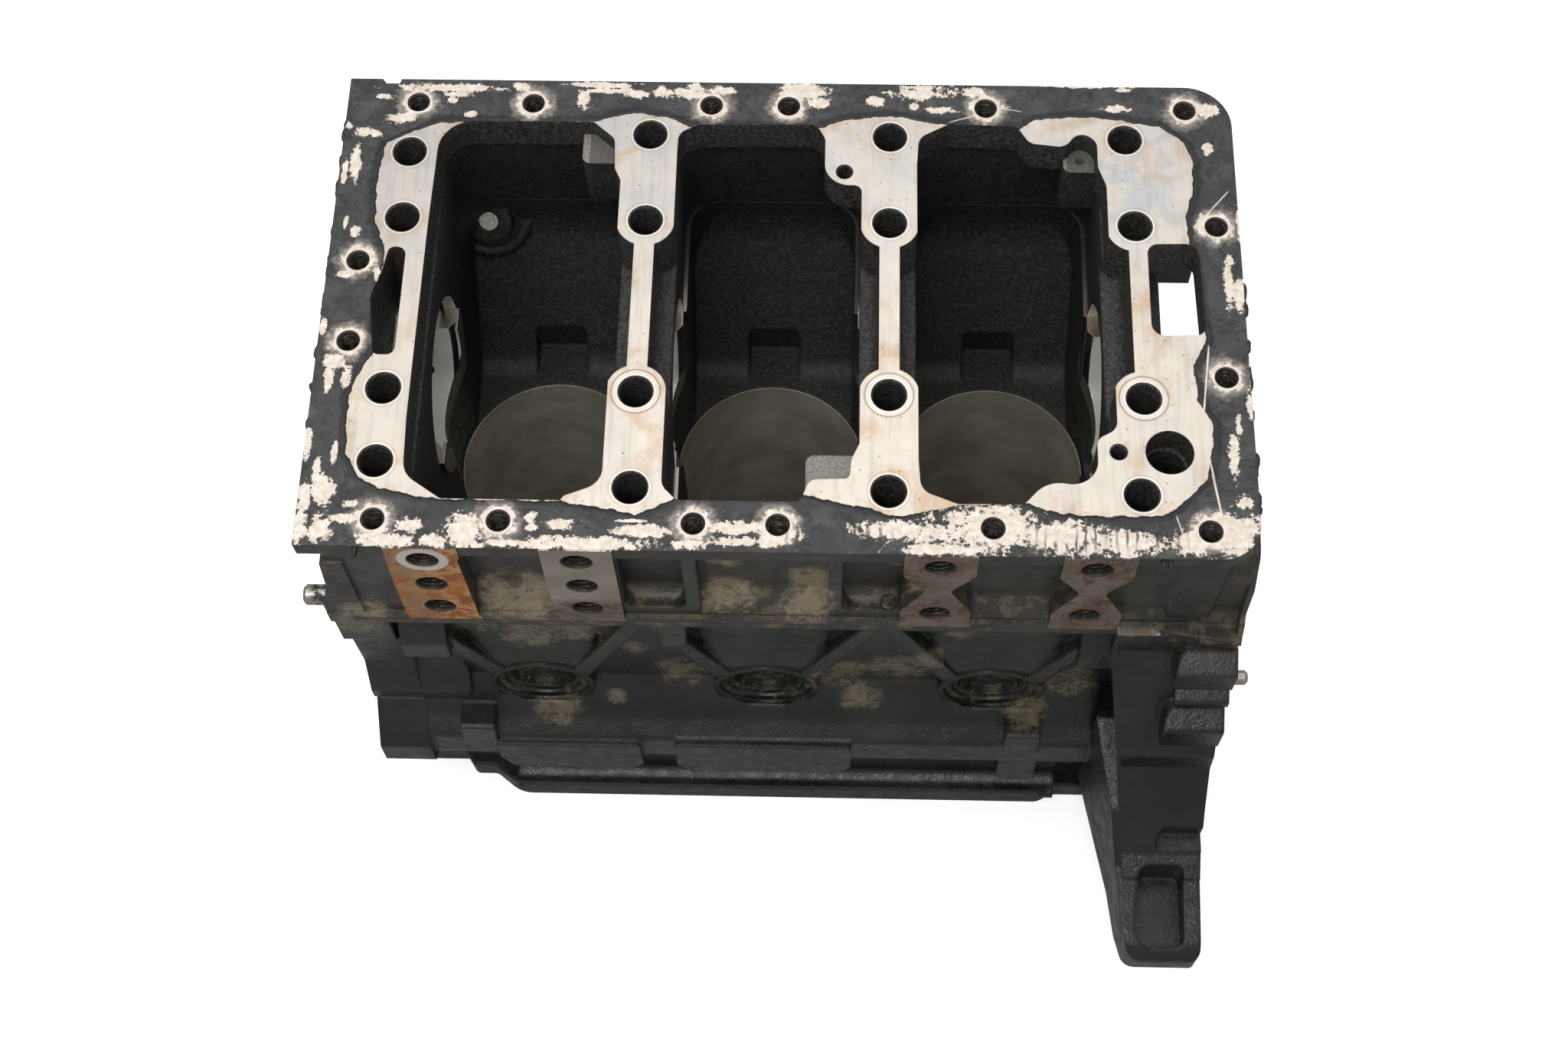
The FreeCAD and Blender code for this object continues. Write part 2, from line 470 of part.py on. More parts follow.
# Crankcase bays: upright walls, then sides that draw in to the cylinders.
bay_side = [(bay_front, 1, 0), (bay_front, -14, 25), (-46, mouth_z, 12), (46, mouth_z, 12),
            (bay_back, -16, 25), (bay_back, 1, 0)]
cuts = []
for i in range(3):
    x0 = web_x[i] + (cap_half if i == 0 else web_half)
    x1 = web_x[i + 1] - web_half
    plan = prism([(x0, bay_front, 12), (x1, bay_front, 12), (x1, bay_back, 12), (x0, bay_back, 12)], "xy",
                 mouth_z - 1, 1)
    bay = plan.common(prism(bay_side, "yz", x0, x1))
    if i == 0:
        bay = bay.cut(rod(ring_r, (x0, 0, 0), (web_x[0] + web_half, 0, 0)))
    cuts.append(bay)
for x in cyl_x:
    cuts.append(rod(bore_dia / 2, (x, 0, mouth_z), (x, 0, deck_z - 1)))
    cuts.append(rod(bore_dia / 2 + bore_clear, (x, 0, 0), (x, 0, mouth_z)))
    cuts.append(taper(bore_dia / 2 + 1, bore_dia / 2, (x, 0, deck_z), (x, 0, deck_z + 1)))
    # clearance notches for the connecting rod, front and back
    cuts.append(prism([(x - 10.5, 20, 0), (x + 10.5, 20, 0), (x + 10.5, 57, 2), (x - 10.5, 57, 2)], "xy",
                      mouth_z, -30))
    cuts.append(prism([(x - 10.5, -57, 2), (x + 10.5, -57, 2), (x + 10.5, -20, 0), (x - 10.5, -20, 0)], "xy",
                      mouth_z, -30))

# Water jacket round the three cylinders, closed at the deck but for its
# transfer holes.
jacket_top = deck_z + deck_t
jacket = prism([(-78, jacket_top, 4), (-78, -88, 5), (-62, -76, 5), (64, -76, 5), (78, -88, 5),
                (78, jacket_top, 4)], "yz", web_a - 2, web_d + 2)
for x in cyl_x:
    jacket = jacket.cut(rod(bore_dia / 2 + 7.0, (x, 0, deck_z), (x, 0, -60)))
head_bolts = [(x, s * 50.0) for x in web_x for s in (-1, 1)]
for x, y in head_bolts:
    jacket = jacket.cut(rod(9.0, (x, y, deck_z), (x, y, -60)))
cuts.append(jacket)
for x, y in head_bolts:
    cuts.append(rod(5.1, (x, y, deck_z - 1), (x, y, deck_z + 45)))
for x in cyl_x:
    for s in (-1, 1):
        cuts.append(rod(3.5, (x - 22, s * 58, deck_z - 1), (x - 22, s * 58, jacket_top + 1)))
        cuts.append(rod(3.5, (x + 22, s * 58, deck_z - 1), (x + 22, s * 58, jacket_top + 1)))

# Hollow behind the bell housing face.
cuts.append(prism([(-80, 1, 0), (-80, -20, 10), (-104, -64, 15), (-108, -82, 15), (-124, -104, 10),
                   (-124, -130, 8), (-84, -138, 15), (-66, -160, 15), (-40, -200, 0), (84, -200, 0),
                   (84, 1, 0)], "yz", rear_x, end_r + 5))
# Pocket and steps on the upper side of the foot.
cuts.append(prism([(end_r - 24, -151.0, 5), (end_r - 6.5, -151.0, 3), (end_r - 6.5, -181.5, 4),
                   (end_r - 26.5, -181.5, 7)], "xy", -127, -100))
cuts.append(prism([(end_r - 18, -139.0, 4), (end_r + 8, -139.0, 0), (end_r + 8, -147.0, 0),
                   (end_r - 18, -147.0, 4)], "xy", -106, -90))

# Shaft line and face rings of the main bearings.
cuts.append(shaft)
cuts.append(seal_bore)
for x in web_x:
    for s in (-1, 1):
        if x == web_x[0] and s < 0 or x == web_x[3] and s > 0:
            continue
        face = x + s * web_half
        if x != web_x[0]:
            cuts.append(rod(ring_r, (face + s, 0, 0), (face - s * 1.2, 0, 0)))
        cuts.append(taper(main_bore_r + 3.0, main_bore_r, (face - s * 1.0, 0, 0), (face - s * 3.5, 0, 0)))
cuts.append(rod(1.8, (web_a - 1, 0, 0), (web_a - 1, 19.5, -22)))

# Bolt holes of the joint: tapped below the through holes of the crankcase.
for x, x_out, y_out in zip(web_x, outer_bolt_x, outer_bolt_y):
    for s in (-1, 1):
        cuts.append(rod(5.1, (x, s * inner_bolt_y, 1), (x, s * inner_bolt_y, -34)))
        cuts.append(rod(5.1, (x_out, s * y_out, 1), (x_out, s * y_out, -34)))
cuts.append(rod(5.5, (oil_x, oil_y, 1), (oil_x, oil_y, -30)))
for x in (filter_x - 19, filter_x + 19):
    for z in (-68.0, -104.0):
        cuts.append(rod(3.4, (x, 96, z), (x, 82, z)))
cuts.append(rod(9.0, (filter_x, 96, -86.0), (filter_x, 80, -86.0)))
# Seats of the dowels and pins, oil gallery, cover and bell housing bolts.
for y, z in pin_at:
    cuts.append(rod(pin_r, (end_r + 1, y, z), (end_r - 10, y, z)))
for x, y in ring_at:
    cuts.append(rod(ring_out_r, (x, y, 1), (x, y, -ring_half - ring_spare)))
gallery_at = (-93.5, -115.0)
cuts.append(rod(gallery_r, (end_l - 1, *gallery_at), (web_d - 22, *gallery_at)))
cuts.append(rod(gallery_r + 2.0, (end_l - 1, *gallery_at), (end_l + 11, *gallery_at)))
for y, z in ((-87.0, -18.0), (84.0, -18.0), (80.0, -70.0), (-86.0, -78.0), (80.0, -128.0),
             (-75.0, -150.0), (60.0, -178.0), (-60.0, -178.0), (0.0, -180.0), (45.0, -30.0),
             (-45.0, -30.0)):
    cuts.append(rod(pan_hole_r, (end_l - 1, y, z), (end_l + 16, y, z)))
for y, z in ((-104.0, -49.0), (-118.0, -98.0), (-174.0, -136.0), (88.0, -36.0)):
    cuts.append(rod(5.1, (end_r + 1, y, z), (end_r - 20, y, z)))
for k in range(6):
    a = math.radians(30 + 60 * k)
    if math.sin(a) < 0.2:
        cuts.append(rod(2.6, (rear_x + 1, 42 * math.cos(a), 42 * math.sin(a)),
                        (rear_x - 10, 42 * math.cos(a), 42 * math.sin(a))))
block = block.cut(seats)
block = block.cut(cuts)

# Round pad with a plugged hole, on the slope of the back wall of the first
# bay, and the curved ridge below it.
pad_out = V(0, -0.813, 0.583)
pad_at = V(web_a + 17.6, 80.8, -12.0)
inside = box(web_a + 2, web_a + 42, 60, 87, -40, -0.01)
ridge = Part.makeTorus(14.5, 2.6, pad_at - pad_out * 4.6, pad_out)
ridge = ridge.common(box(web_a + 2, web_a + 42, 50, 86, -40, -15))
block = block.fuse([rod(9.3, pad_at - pad_out * 9, pad_at).common(inside), ridge])
block = block.cut(rod(3.8, pad_at - pad_out * 7, pad_at + pad_out))
save(block, "cylinder_block")


# ============================================================ PRESSED-IN PIECES
def core_plug(x, side):
    # cup plug with a wide sloping rim, open side outwards; side -1 is the front
    length = 7.5
    points = [(plug_r, 0), (16.6, 0), (15.0, 0.8), (14.7, 1.8), (12.6, 2.5), (12.0, 6.0), (0, 6.0),
              (0, length), (plug_r - 0.8, length), (plug_r, length - 0.8)]
    wire = Part.makePolygon([V(r, -d * side, 0) for r, d in points] + [V(plug_r, 0, 0)])
    solid = Part.Face(wire).revolve(V(0, 0, 0), V(0, 1, 0), 360)
    solid.translate(V(x, side * plug_y, plug_z))
    return solid


for i, x in enumerate(cyl_x):
    save(core_plug(x, -1), "core_plug_front_%d" % (i + 1))
for i, x in enumerate(back_plug_x):
    save(core_plug(x, 1), "core_plug_back_%d" % (i + 1))


def pin(radius, tip, root, y, z):
    # steel pin along the crank direction with a chamfered tip
    lead = 1.0 if tip > root else -1.0
    body = rod(radius, (root, y, z), (tip - lead, y, z))
    return body.fuse(taper(radius, radius - 0.9, (tip - lead, y, z), (tip, y, z)))


for (y, z), name in zip(dowel_at, ("dowel_left", "dowel_left_back")):
    save(pin(dowel_r, end_l - dowel_tip, end_l + 10, y, z), name)
for (y, z), name in zip(pin_at, ("dowel_right", "dowel_right_back")):
    save(pin(pin_r, end_r + pin_tip, end_r - 10, y, z), name)

for i, (x, y) in enumerate(ring_at):
    ring = rod(ring_out_r, (x, y, -ring_half), (x, y, ring_half))
    save(ring.cut(rod(main_bolt_r, (x, y, -20), (x, y, 20))), "ring_dowel_%d" % (i + 1))

# Screwed gallery plug with a square socket, sunk in the timing face.
socket_y, socket_z = gallery_at
socket = box(end_l, end_l + 7, socket_y - 2.4, socket_y + 2.4, socket_z - 2.4, socket_z + 2.4)
gallery_plug = rod(gallery_r + 2.0, (end_l + 1, *gallery_at), (end_l + 11, *gallery_at))
save(gallery_plug.cut(socket), "gallery_plug")

# Light alloy plug in the inner boss of the first bay, with a dished end.
wall_plug = rod(3.8, pad_at - pad_out * 7, pad_at)
wall_plug = wall_plug.cut(taper(2.4, 3.0, pad_at - pad_out * 0.5, pad_at + pad_out * 0.1))
save(wall_plug, "wall_plug")

# Small steel plug standing in the front pocket of the lower crankcase.
oil_plug = rod(2.8, plug_foot - plug_up * 6, plug_foot + plug_up * 1.4)
oil_plug = oil_plug.fuse(taper(2.8, 2.2, plug_foot + plug_up * 1.4, plug_foot + plug_up * 2.0))
save(oil_plug, "oil_plug_front")
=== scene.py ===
import bpy
import math
from functools import reduce
from mathutils import Matrix, Vector


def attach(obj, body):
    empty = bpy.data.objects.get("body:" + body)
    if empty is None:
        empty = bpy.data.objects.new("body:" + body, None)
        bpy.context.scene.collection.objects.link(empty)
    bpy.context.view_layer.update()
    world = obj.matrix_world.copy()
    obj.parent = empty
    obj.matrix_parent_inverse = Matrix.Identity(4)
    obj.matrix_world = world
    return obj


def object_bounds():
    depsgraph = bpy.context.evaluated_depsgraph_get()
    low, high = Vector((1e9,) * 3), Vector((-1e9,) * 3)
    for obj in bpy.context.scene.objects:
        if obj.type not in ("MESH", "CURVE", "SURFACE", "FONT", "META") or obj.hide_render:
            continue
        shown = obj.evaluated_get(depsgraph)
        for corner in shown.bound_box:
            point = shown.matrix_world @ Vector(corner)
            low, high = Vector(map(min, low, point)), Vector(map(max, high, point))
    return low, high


# The bare block of a three-cylinder engine, upside down. Places are in mm on the
# frame's axes: x to the flywheel end, y away from the viewer, z up to the pan face,
# with the origin on the crank axis at the middle cylinder.
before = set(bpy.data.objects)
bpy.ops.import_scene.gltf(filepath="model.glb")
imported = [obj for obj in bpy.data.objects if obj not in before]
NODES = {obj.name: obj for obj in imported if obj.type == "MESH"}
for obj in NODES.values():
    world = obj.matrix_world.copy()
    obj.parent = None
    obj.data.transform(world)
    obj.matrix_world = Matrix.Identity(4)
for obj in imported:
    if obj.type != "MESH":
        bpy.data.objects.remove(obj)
cad_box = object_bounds()
MM = 0.001


# ---------------------------------------------------------------- node helpers
def rgb(code):
    # sRGB hex to linear
    parts = [int(code[i:i + 2], 16) / 255.0 for i in (1, 3, 5)]
    return [c / 12.92 if c <= 0.04045 else ((c + 0.055) / 1.055) ** 2.4
            for c in parts] + [1.0]


def grey(level):
    # a linear grey, opaque
    return (level, level, level, 1.0)


def add(tree, kind, links=None, **settings):
    # one node with its settings; links maps a socket name or index to a value
    # or to another node's socket
    node = tree.nodes.new(kind)
    for key, value in settings.items():
        setattr(node, key, value)
    for key, value in (links or {}).items():
        if isinstance(value, bpy.types.NodeSocket):
            tree.links.new(value, node.inputs[key])
        else:
            node.inputs[key].default_value = value
    return node


class Finish:
    """A procedural finish: masks and colours on Object coordinates, in mm."""

    BAND = 0.314        # width of one band of the wave texture at scale 1
    SOFT_EDGE_SAMPLES = 4

    def __init__(self, name):
        self.mat = bpy.data.materials.new(name)
        self.mat.use_nodes = True
        self.tree = self.mat.node_tree
        self.tree.nodes.clear()
        coord = add(self.tree, "ShaderNodeTexCoord")
        to_mm = (1 / MM, 1 / MM, 1 / MM)
        self.p = add(self.tree, "ShaderNodeMapping",
                     {"Vector": coord.outputs["Object"], "Scale": to_mm}).outputs[0]
        split = add(self.tree, "ShaderNodeSeparateXYZ", {0: self.p})
        self.x, self.y, self.z = split.outputs[:3]
        geo = add(self.tree, "ShaderNodeNewGeometry")
        split = add(self.tree, "ShaderNodeSeparateXYZ", {0: geo.outputs["True Normal"]})
        self.nx, self.ny, self.nz = split.outputs[:3]

    # sums
    def math(self, op, a, b=0.0):
        return add(self.tree, "ShaderNodeMath", {0: a, 1: b}, operation=op).outputs[0]

    def plus(self, a, b):
        return self.math("ADD", a, b)

    def minus(self, a, b):
        return self.math("SUBTRACT", a, b)

    def without(self, mask):
        return self.minus(1.0, mask)

    def times(self, a, *more):
        for b in more:
            a = self.math("MULTIPLY", a, b)
        return a

    def top(self, a, *more):
        for b in more:
            a = self.math("MAXIMUM", a, b)
        return a

    def low(self, a, b):
        return self.math("MINIMUM", a, b)

    # masks
    def step(self, value, start, stop):
        # 0 at start, 1 at stop, smooth between; stop may be the lower one
        node = add(self.tree, "ShaderNodeMapRange",
                   {"Value": value, "From Min": min(start, stop), "From Max": max(start, stop)},
                   interpolation_type="SMOOTHSTEP", clamp=True)
        if start < stop:
            return node.outputs[0]
        return self.without(node.outputs[0])

    def inside(self, value, low, high, soft=0.3):
        return self.times(self.step(value, low - soft, low + soft),
                          self.step(value, high + soft, high - soft))

    def noise(self, size, detail=3.0, rough=0.55, twist=0.0, stretch=None, seed=0.0):
        # size is the width of one patch in mm
        vector = self.p
        if stretch or seed:
            vector = add(self.tree, "ShaderNodeMapping",
                         {"Vector": self.p, "Scale": stretch or (1, 1, 1),
                          "Location": (seed, seed * 1.7, 0)}).outputs[0]
        return add(self.tree, "ShaderNodeTexNoise",
                   {"Vector": vector, "Scale": 1.0 / size, "Detail": detail,
                    "Roughness": rough, "Distortion": twist}).outputs["Fac"]

    def cloud(self, start, stop, *shape, **more):
        # patchy mask: noise of some size, 0 below start and 1 above stop
        return self.step(self.noise(*shape, **more), start, stop)

    def cells(self, size):
        return add(self.tree, "ShaderNodeTexVoronoi",
                   {"Vector": self.p, "Scale": 1.0 / size}).outputs["Distance"]

    def wave(self, pitch, way, twist):
        return add(self.tree, "ShaderNodeTexWave",
                   {"Vector": self.p, "Scale": self.BAND / pitch, "Distortion": twist,
                    "Detail": 2.0, "Detail Scale": 1.0},
                   wave_type="BANDS", bands_direction=way).outputs["Fac"]

    def curve(self, value, points, span, reach):
        # line through given points: value over span to a height over reach, both in mm
        scaled = add(self.tree, "ShaderNodeMapRange",
                     {"Value": value, "From Min": span[0], "From Max": span[1]}).outputs[0]
        node = add(self.tree, "ShaderNodeFloatCurve", {"Value": scaled})
        line = node.mapping.curves[0]
        flat = [((u - span[0]) / (span[1] - span[0]), (v - reach[0]) / (reach[1] - reach[0]))
                for u, v in points]
        while len(line.points) < len(flat):
            line.points.new(0.5, 0.5)
        for point, (u, v) in zip(line.points, flat):
            point.location = (u, v)
            point.handle_type = "VECTOR"
        node.mapping.update()
        return add(self.tree, "ShaderNodeMapRange",
                   {"Value": node.outputs[0], "To Min": reach[0], "To Max": reach[1]}).outputs[0]

    def distance(self, at, scale=(1, 1, 1)):
        # distance in mm from a point; a zero scale drops that axis
        vector = add(self.tree, "ShaderNodeVectorMath", {0: self.p, 1: scale},
                     operation="MULTIPLY").outputs[0]
        at = [a * s for a, s in zip(at, scale)]
        return add(self.tree, "ShaderNodeVectorMath", {0: vector, 1: at},
                   operation="DISTANCE").outputs["Value"]

    def nearest(self, places):
        # distance to the nearest of some upright axes, each at x and y
        return reduce(self.low, (self.distance((x, y, 0), (1, 1, 0)) for x, y in places))

    def off_crank(self):
        # distance from the crank axis
        return self.math("SQRT", self.plus(self.times(self.y, self.y), self.times(self.z, self.z)))

    def scratch(self, start, stop, half):
        # straight mark on the pan face from start to stop, in x and y
        along = Vector((stop[0] - start[0], stop[1] - start[1]))
        length = along.length
        along.normalize()
        u = self.plus(self.times(self.minus(self.x, start[0]), along.x),
                      self.times(self.minus(self.y, start[1]), along.y))
        v = self.plus(self.times(self.minus(self.x, start[0]), -along.y),
                      self.times(self.minus(self.y, start[1]), along.x))
        v = self.math("ABSOLUTE", v)
        return self.times(self.step(v, half, half * 0.4), self.inside(u, 0, length, 1.0))

    # colours and values
    def blend(self, fac, a, b):
        a = rgb(a) if isinstance(a, str) else a
        b = rgb(b) if isinstance(b, str) else b
        return add(self.tree, "ShaderNodeMix", {0: fac, 6: a, 7: b}, data_type="RGBA").outputs[2]

    def mix(self, fac, a, b):
        return add(self.tree, "ShaderNodeMix", {0: fac, 2: a, 3: b}).outputs[0]

    # surface
    def bump(self, height, depth, normal=None, strength=1.0):
        # depth in mm for a height of 1
        links = {"Height": height, "Distance": depth * MM, "Strength": strength}
        if normal is not None:
            links["Normal"] = normal
        return add(self.tree, "ShaderNodeBump", links).outputs[0]

    def soften(self, radius):
        # rounded look of a cast or worn edge, radius in mm
        return add(self.tree, "ShaderNodeBevel", {"Radius": self.times(radius, MM)},
                   samples=self.SOFT_EDGE_SAMPLES).outputs[0]

    def shade(self, color, rough, metal, normal):
        shader = add(self.tree, "ShaderNodeBsdfPrincipled",
                     {"Base Color": color, "Roughness": rough, "Metallic": metal,
                      "Normal": normal})
        out = add(self.tree, "ShaderNodeOutputMaterial")
        self.tree.links.new(shader.outputs[0], out.inputs[0])
        return self.mat


# ---------------------------------------------------------------- camera
LENS, SENSOR = 50.57, 36.0      # mm
CLIP_START = 0.01               # metres, as all below
CAMERA_AT = (0.0248, -0.3959, 0.7362)
CAMERA_RIGHT = Vector((0.99964, 0.02315, -0.01313))
CAMERA_UP = Vector((-0.01551, 0.90746, 0.41979))
CAMERA_BACK = Vector((0.02163, -0.41944, 0.90750))


def link(obj):
    bpy.context.scene.collection.objects.link(obj)
    return obj


camera = link(bpy.data.objects.new("camera", bpy.data.cameras.new("camera")))
camera.data.lens = LENS
camera.data.sensor_width = SENSOR
camera.data.clip_start = CLIP_START
turn = Matrix((CAMERA_RIGHT, CAMERA_UP, CAMERA_BACK)).transposed().to_4x4()
camera.matrix_world = Matrix.Translation(CAMERA_AT) @ turn
bpy.context.scene.camera = camera
bpy.context.scene.view_settings.view_transform = "Standard"

# ---------------------------------------------------------------- studio and floor
SKY_TONE, SKY_STRENGTH = "#f6f5f3", 0.55
FLOOR_HALF = 4.0                # from the middle to each edge
FLOOR_TONE, FLOOR_GLOW = 0.86, 0.52     # as the camera sees it
FLOOR_BOUNCE = 0.42             # what it throws back on to the block


def by_ray(tree, other, camera_ray):
    # one shader for what the camera sees and another for all other rays
    ray = add(tree, "ShaderNodeLightPath")
    return add(tree, "ShaderNodeMixShader",
               {0: ray.outputs["Is Camera Ray"], 1: other.outputs[0], 2: camera_ray.outputs[0]})


world = bpy.data.worlds.new("studio")
bpy.context.scene.world = world
world.use_nodes = True
sky = world.node_tree
sky.nodes.clear()
soft_sky = add(sky, "ShaderNodeBackground", {"Color": rgb(SKY_TONE), "Strength": SKY_STRENGTH})
white_sky = add(sky, "ShaderNodeBackground", {"Color": grey(1.0), "Strength": 1.0})
add(sky, "ShaderNodeOutputWorld", {0: by_ray(sky, soft_sky, white_sky).outputs[0]})

# plain pale table, white to the camera
white = bpy.data.materials.new("white_table")
white.use_nodes = True
table = white.node_tree
table.nodes.clear()
matt = add(table, "ShaderNodeBsdfDiffuse", {"Color": grey(FLOOR_TONE)})
glow = add(table, "ShaderNodeEmission", {"Color": grey(1.0), "Strength": FLOOR_GLOW})
both = add(table, "ShaderNodeAddShader", {0: matt.outputs[0], 1: glow.outputs[0]})
dim = add(table, "ShaderNodeBsdfDiffuse", {"Color": grey(FLOOR_BOUNCE)})
add(table, "ShaderNodeOutputMaterial", {0: by_ray(table, dim, both).outputs[0]})

floor_z = cad_box[0][2]
corners = [(x * FLOOR_HALF, y * FLOOR_HALF, floor_z)
           for x, y in ((-1, -1), (1, -1), (1, 1), (-1, 1))]
floor_mesh = bpy.data.meshes.new("floor")
floor_mesh.from_pydata(corners, [], [(0, 1, 2, 3)])
floor_mesh.materials.append(white)
floor = link(bpy.data.objects.new("floor", floor_mesh))


def lamp(name, place, aim, size, power):
    data = bpy.data.lights.new(name, "AREA")
    data.shape = "RECTANGLE"
    data.size, data.size_y = size
    data.energy = power
    light = link(bpy.data.objects.new(name, data))
    way = Vector(place) - Vector(aim)
    turn = way.to_track_quat("Z", "Y").to_matrix().to_4x4()
    light.matrix_world = Matrix.Translation(place) @ turn


lamp("top_softbox", place=(-0.25, 0.38, 1.5), aim=(0, 0, 0), size=(2.2, 1.1), power=10)
lamp("front_fill", place=(-0.25, -0.85, 1.65), aim=(0, 0, -0.05), size=(1.0, 0.6), power=13)

# ---------------------------------------------------------------- places, in mm
PAN_FACE = 62.0                 # z of the face that the oil pan bolts to
PAN_HOLE_Y = 85.2               # two rows of these, and four more holes at the ends
PAN_HOLES = [(x, side * PAN_HOLE_Y) for x in (-130.7, -88.0, -22.0, 6.6, 79.2, 152.2)
             for side in (-1, 1)]
PAN_HOLES += [(-146.2, 16.6), (-146.2, -16.4), (161.0, 35.1), (161.0, -26.3)]
PAN_HOLE_R = 3.45
BOLT_Y = 35.0                   # inner main bolts; the outer ones differ by web
# each web: its x, y of the outer bolts, how far those stand inwards in x
BOLTS = [(-132.0, 63.3, 0.0), (-44.0, 72.0, 0.0), (44.0, 72.0, 0.0), (132.0, 72.0, 2.2)]
MAIN_HOLES = [place for web, outer, shift in BOLTS
              for place in ((web - shift, -outer), (web, -BOLT_Y), (web, BOLT_Y),
                            (web - shift, outer))]
BOLT_RIM, BOLT_EDGE = (5.6, 7.0), (7.1, 7.7)    # radii of the rubbed rings
SPOT_FACES = [(web, -BOLT_Y) for web, _, _ in BOLTS[1:]]
SPOT_R = 8.1                    # ring milled round those bolt holes
PAD_FACE = -96.0                # y of the milled pads on the front wall
PAD_HOLES = [(x, z) for x in (-114.3, -61.7) for z in (52.4, 32.0, 12.0)]
PAD_HOLES += [(x, z) for x in (61.9, 114.9) for z in (52.6, 12.5)]
PAD_HOLE_R = 5.4
PAD_FOOT = 3.0                  # z below which only the strips are milled
PAD_STRIPS = ((-127, -101), (-74, -49), (49, 75), (102.5, 128.5))
BORES = ((-88.0, 0.0), (0.0, 0.0), (88.0, 0.0))
BORE_R = 37.5
BORE_END = -69.0                # z of the bores' rims
SADDLE_R = 24.5                 # main bearing seats
CHEEK_R = 33.5                  # round faces milled beside them
TIMING_FACE, BELL_FACE = -157.0, 172.0      # x of the two end faces
HEAD_FACE = -188.0              # z of the face the part stands on
JOINT_X = (-143, 143)           # joint face between the castings, at z = 0
LUG_AT, LUG_HOLE_R = (114.6, 69.5), 1.65    # small lug in the third bay
HOLLOW_X, HOLLOW_Y = (-141, 156), (-77.6, 84.4)             # inside the lower crankcase
BLOCK_HOLLOW_X, BLOCK_HOLLOW_Y = (-122, 121), (-77.4, 84.4)  # inside the block

# outlines of the machined lands, where the sealant starts: back and front over
# SPAN_X, left and right over SPAN_Y
SPAN_X = (-160.0, 180.0)
SPAN_Y = (-100.0, 100.0)
BACK = [
    (-160, 58), (-143, 65), (-138, 69.4), (-122, 76.4), (-65.5, 77.2), (-57, 80.1), (-48, 81),
    (-37, 79.3), (-29.6, 75.4), (16, 75.2), (25, 78.5), (44, 81.5), (54, 79), (65, 77.9),
    (91, 75.9), (97, 80.1), (114, 82), (128, 80.5), (143, 77.6), (152, 70.9), (180, 50)]
FRONT = [
    (-160, -55), (-143, -62), (-140.5, -66.5), (-137, -69.3), (-130, -74), (-109, -77.5),
    (-67, -77.7), (-52, -80.3), (-42, -82.1), (-36, -79.9), (-28.6, -75.6), (15.3, -73.5),
    (27, -76.6), (47, -81.3), (62, -78.6), (67, -77.2), (90, -75.2), (98, -78.6), (110, -80.3),
    (136, -79.8), (143, -75.5), (152, -65.7), (180, -50)]
LEFT = [
    (-100, -118), (-76, -132), (-70, -137), (-61, -142), (-50, -143.3), (-40, -143.4),
    (-32, -142.4), (-21, -137), (21, -137), (34, -142), (55, -142.7), (67, -140.7), (76, -125),
    (100, -112)]
RIGHT = [
    (-100, 128), (-76, 143), (-66, 152), (-52, 155), (-43, 154.8), (-36, 150.6), (-22, 149.7),
    (-12, 154.5), (28, 151.3), (39, 150.4), (52, 153.7), (62, 154.2), (71, 151.7), (78, 143),
    (100, 128)]

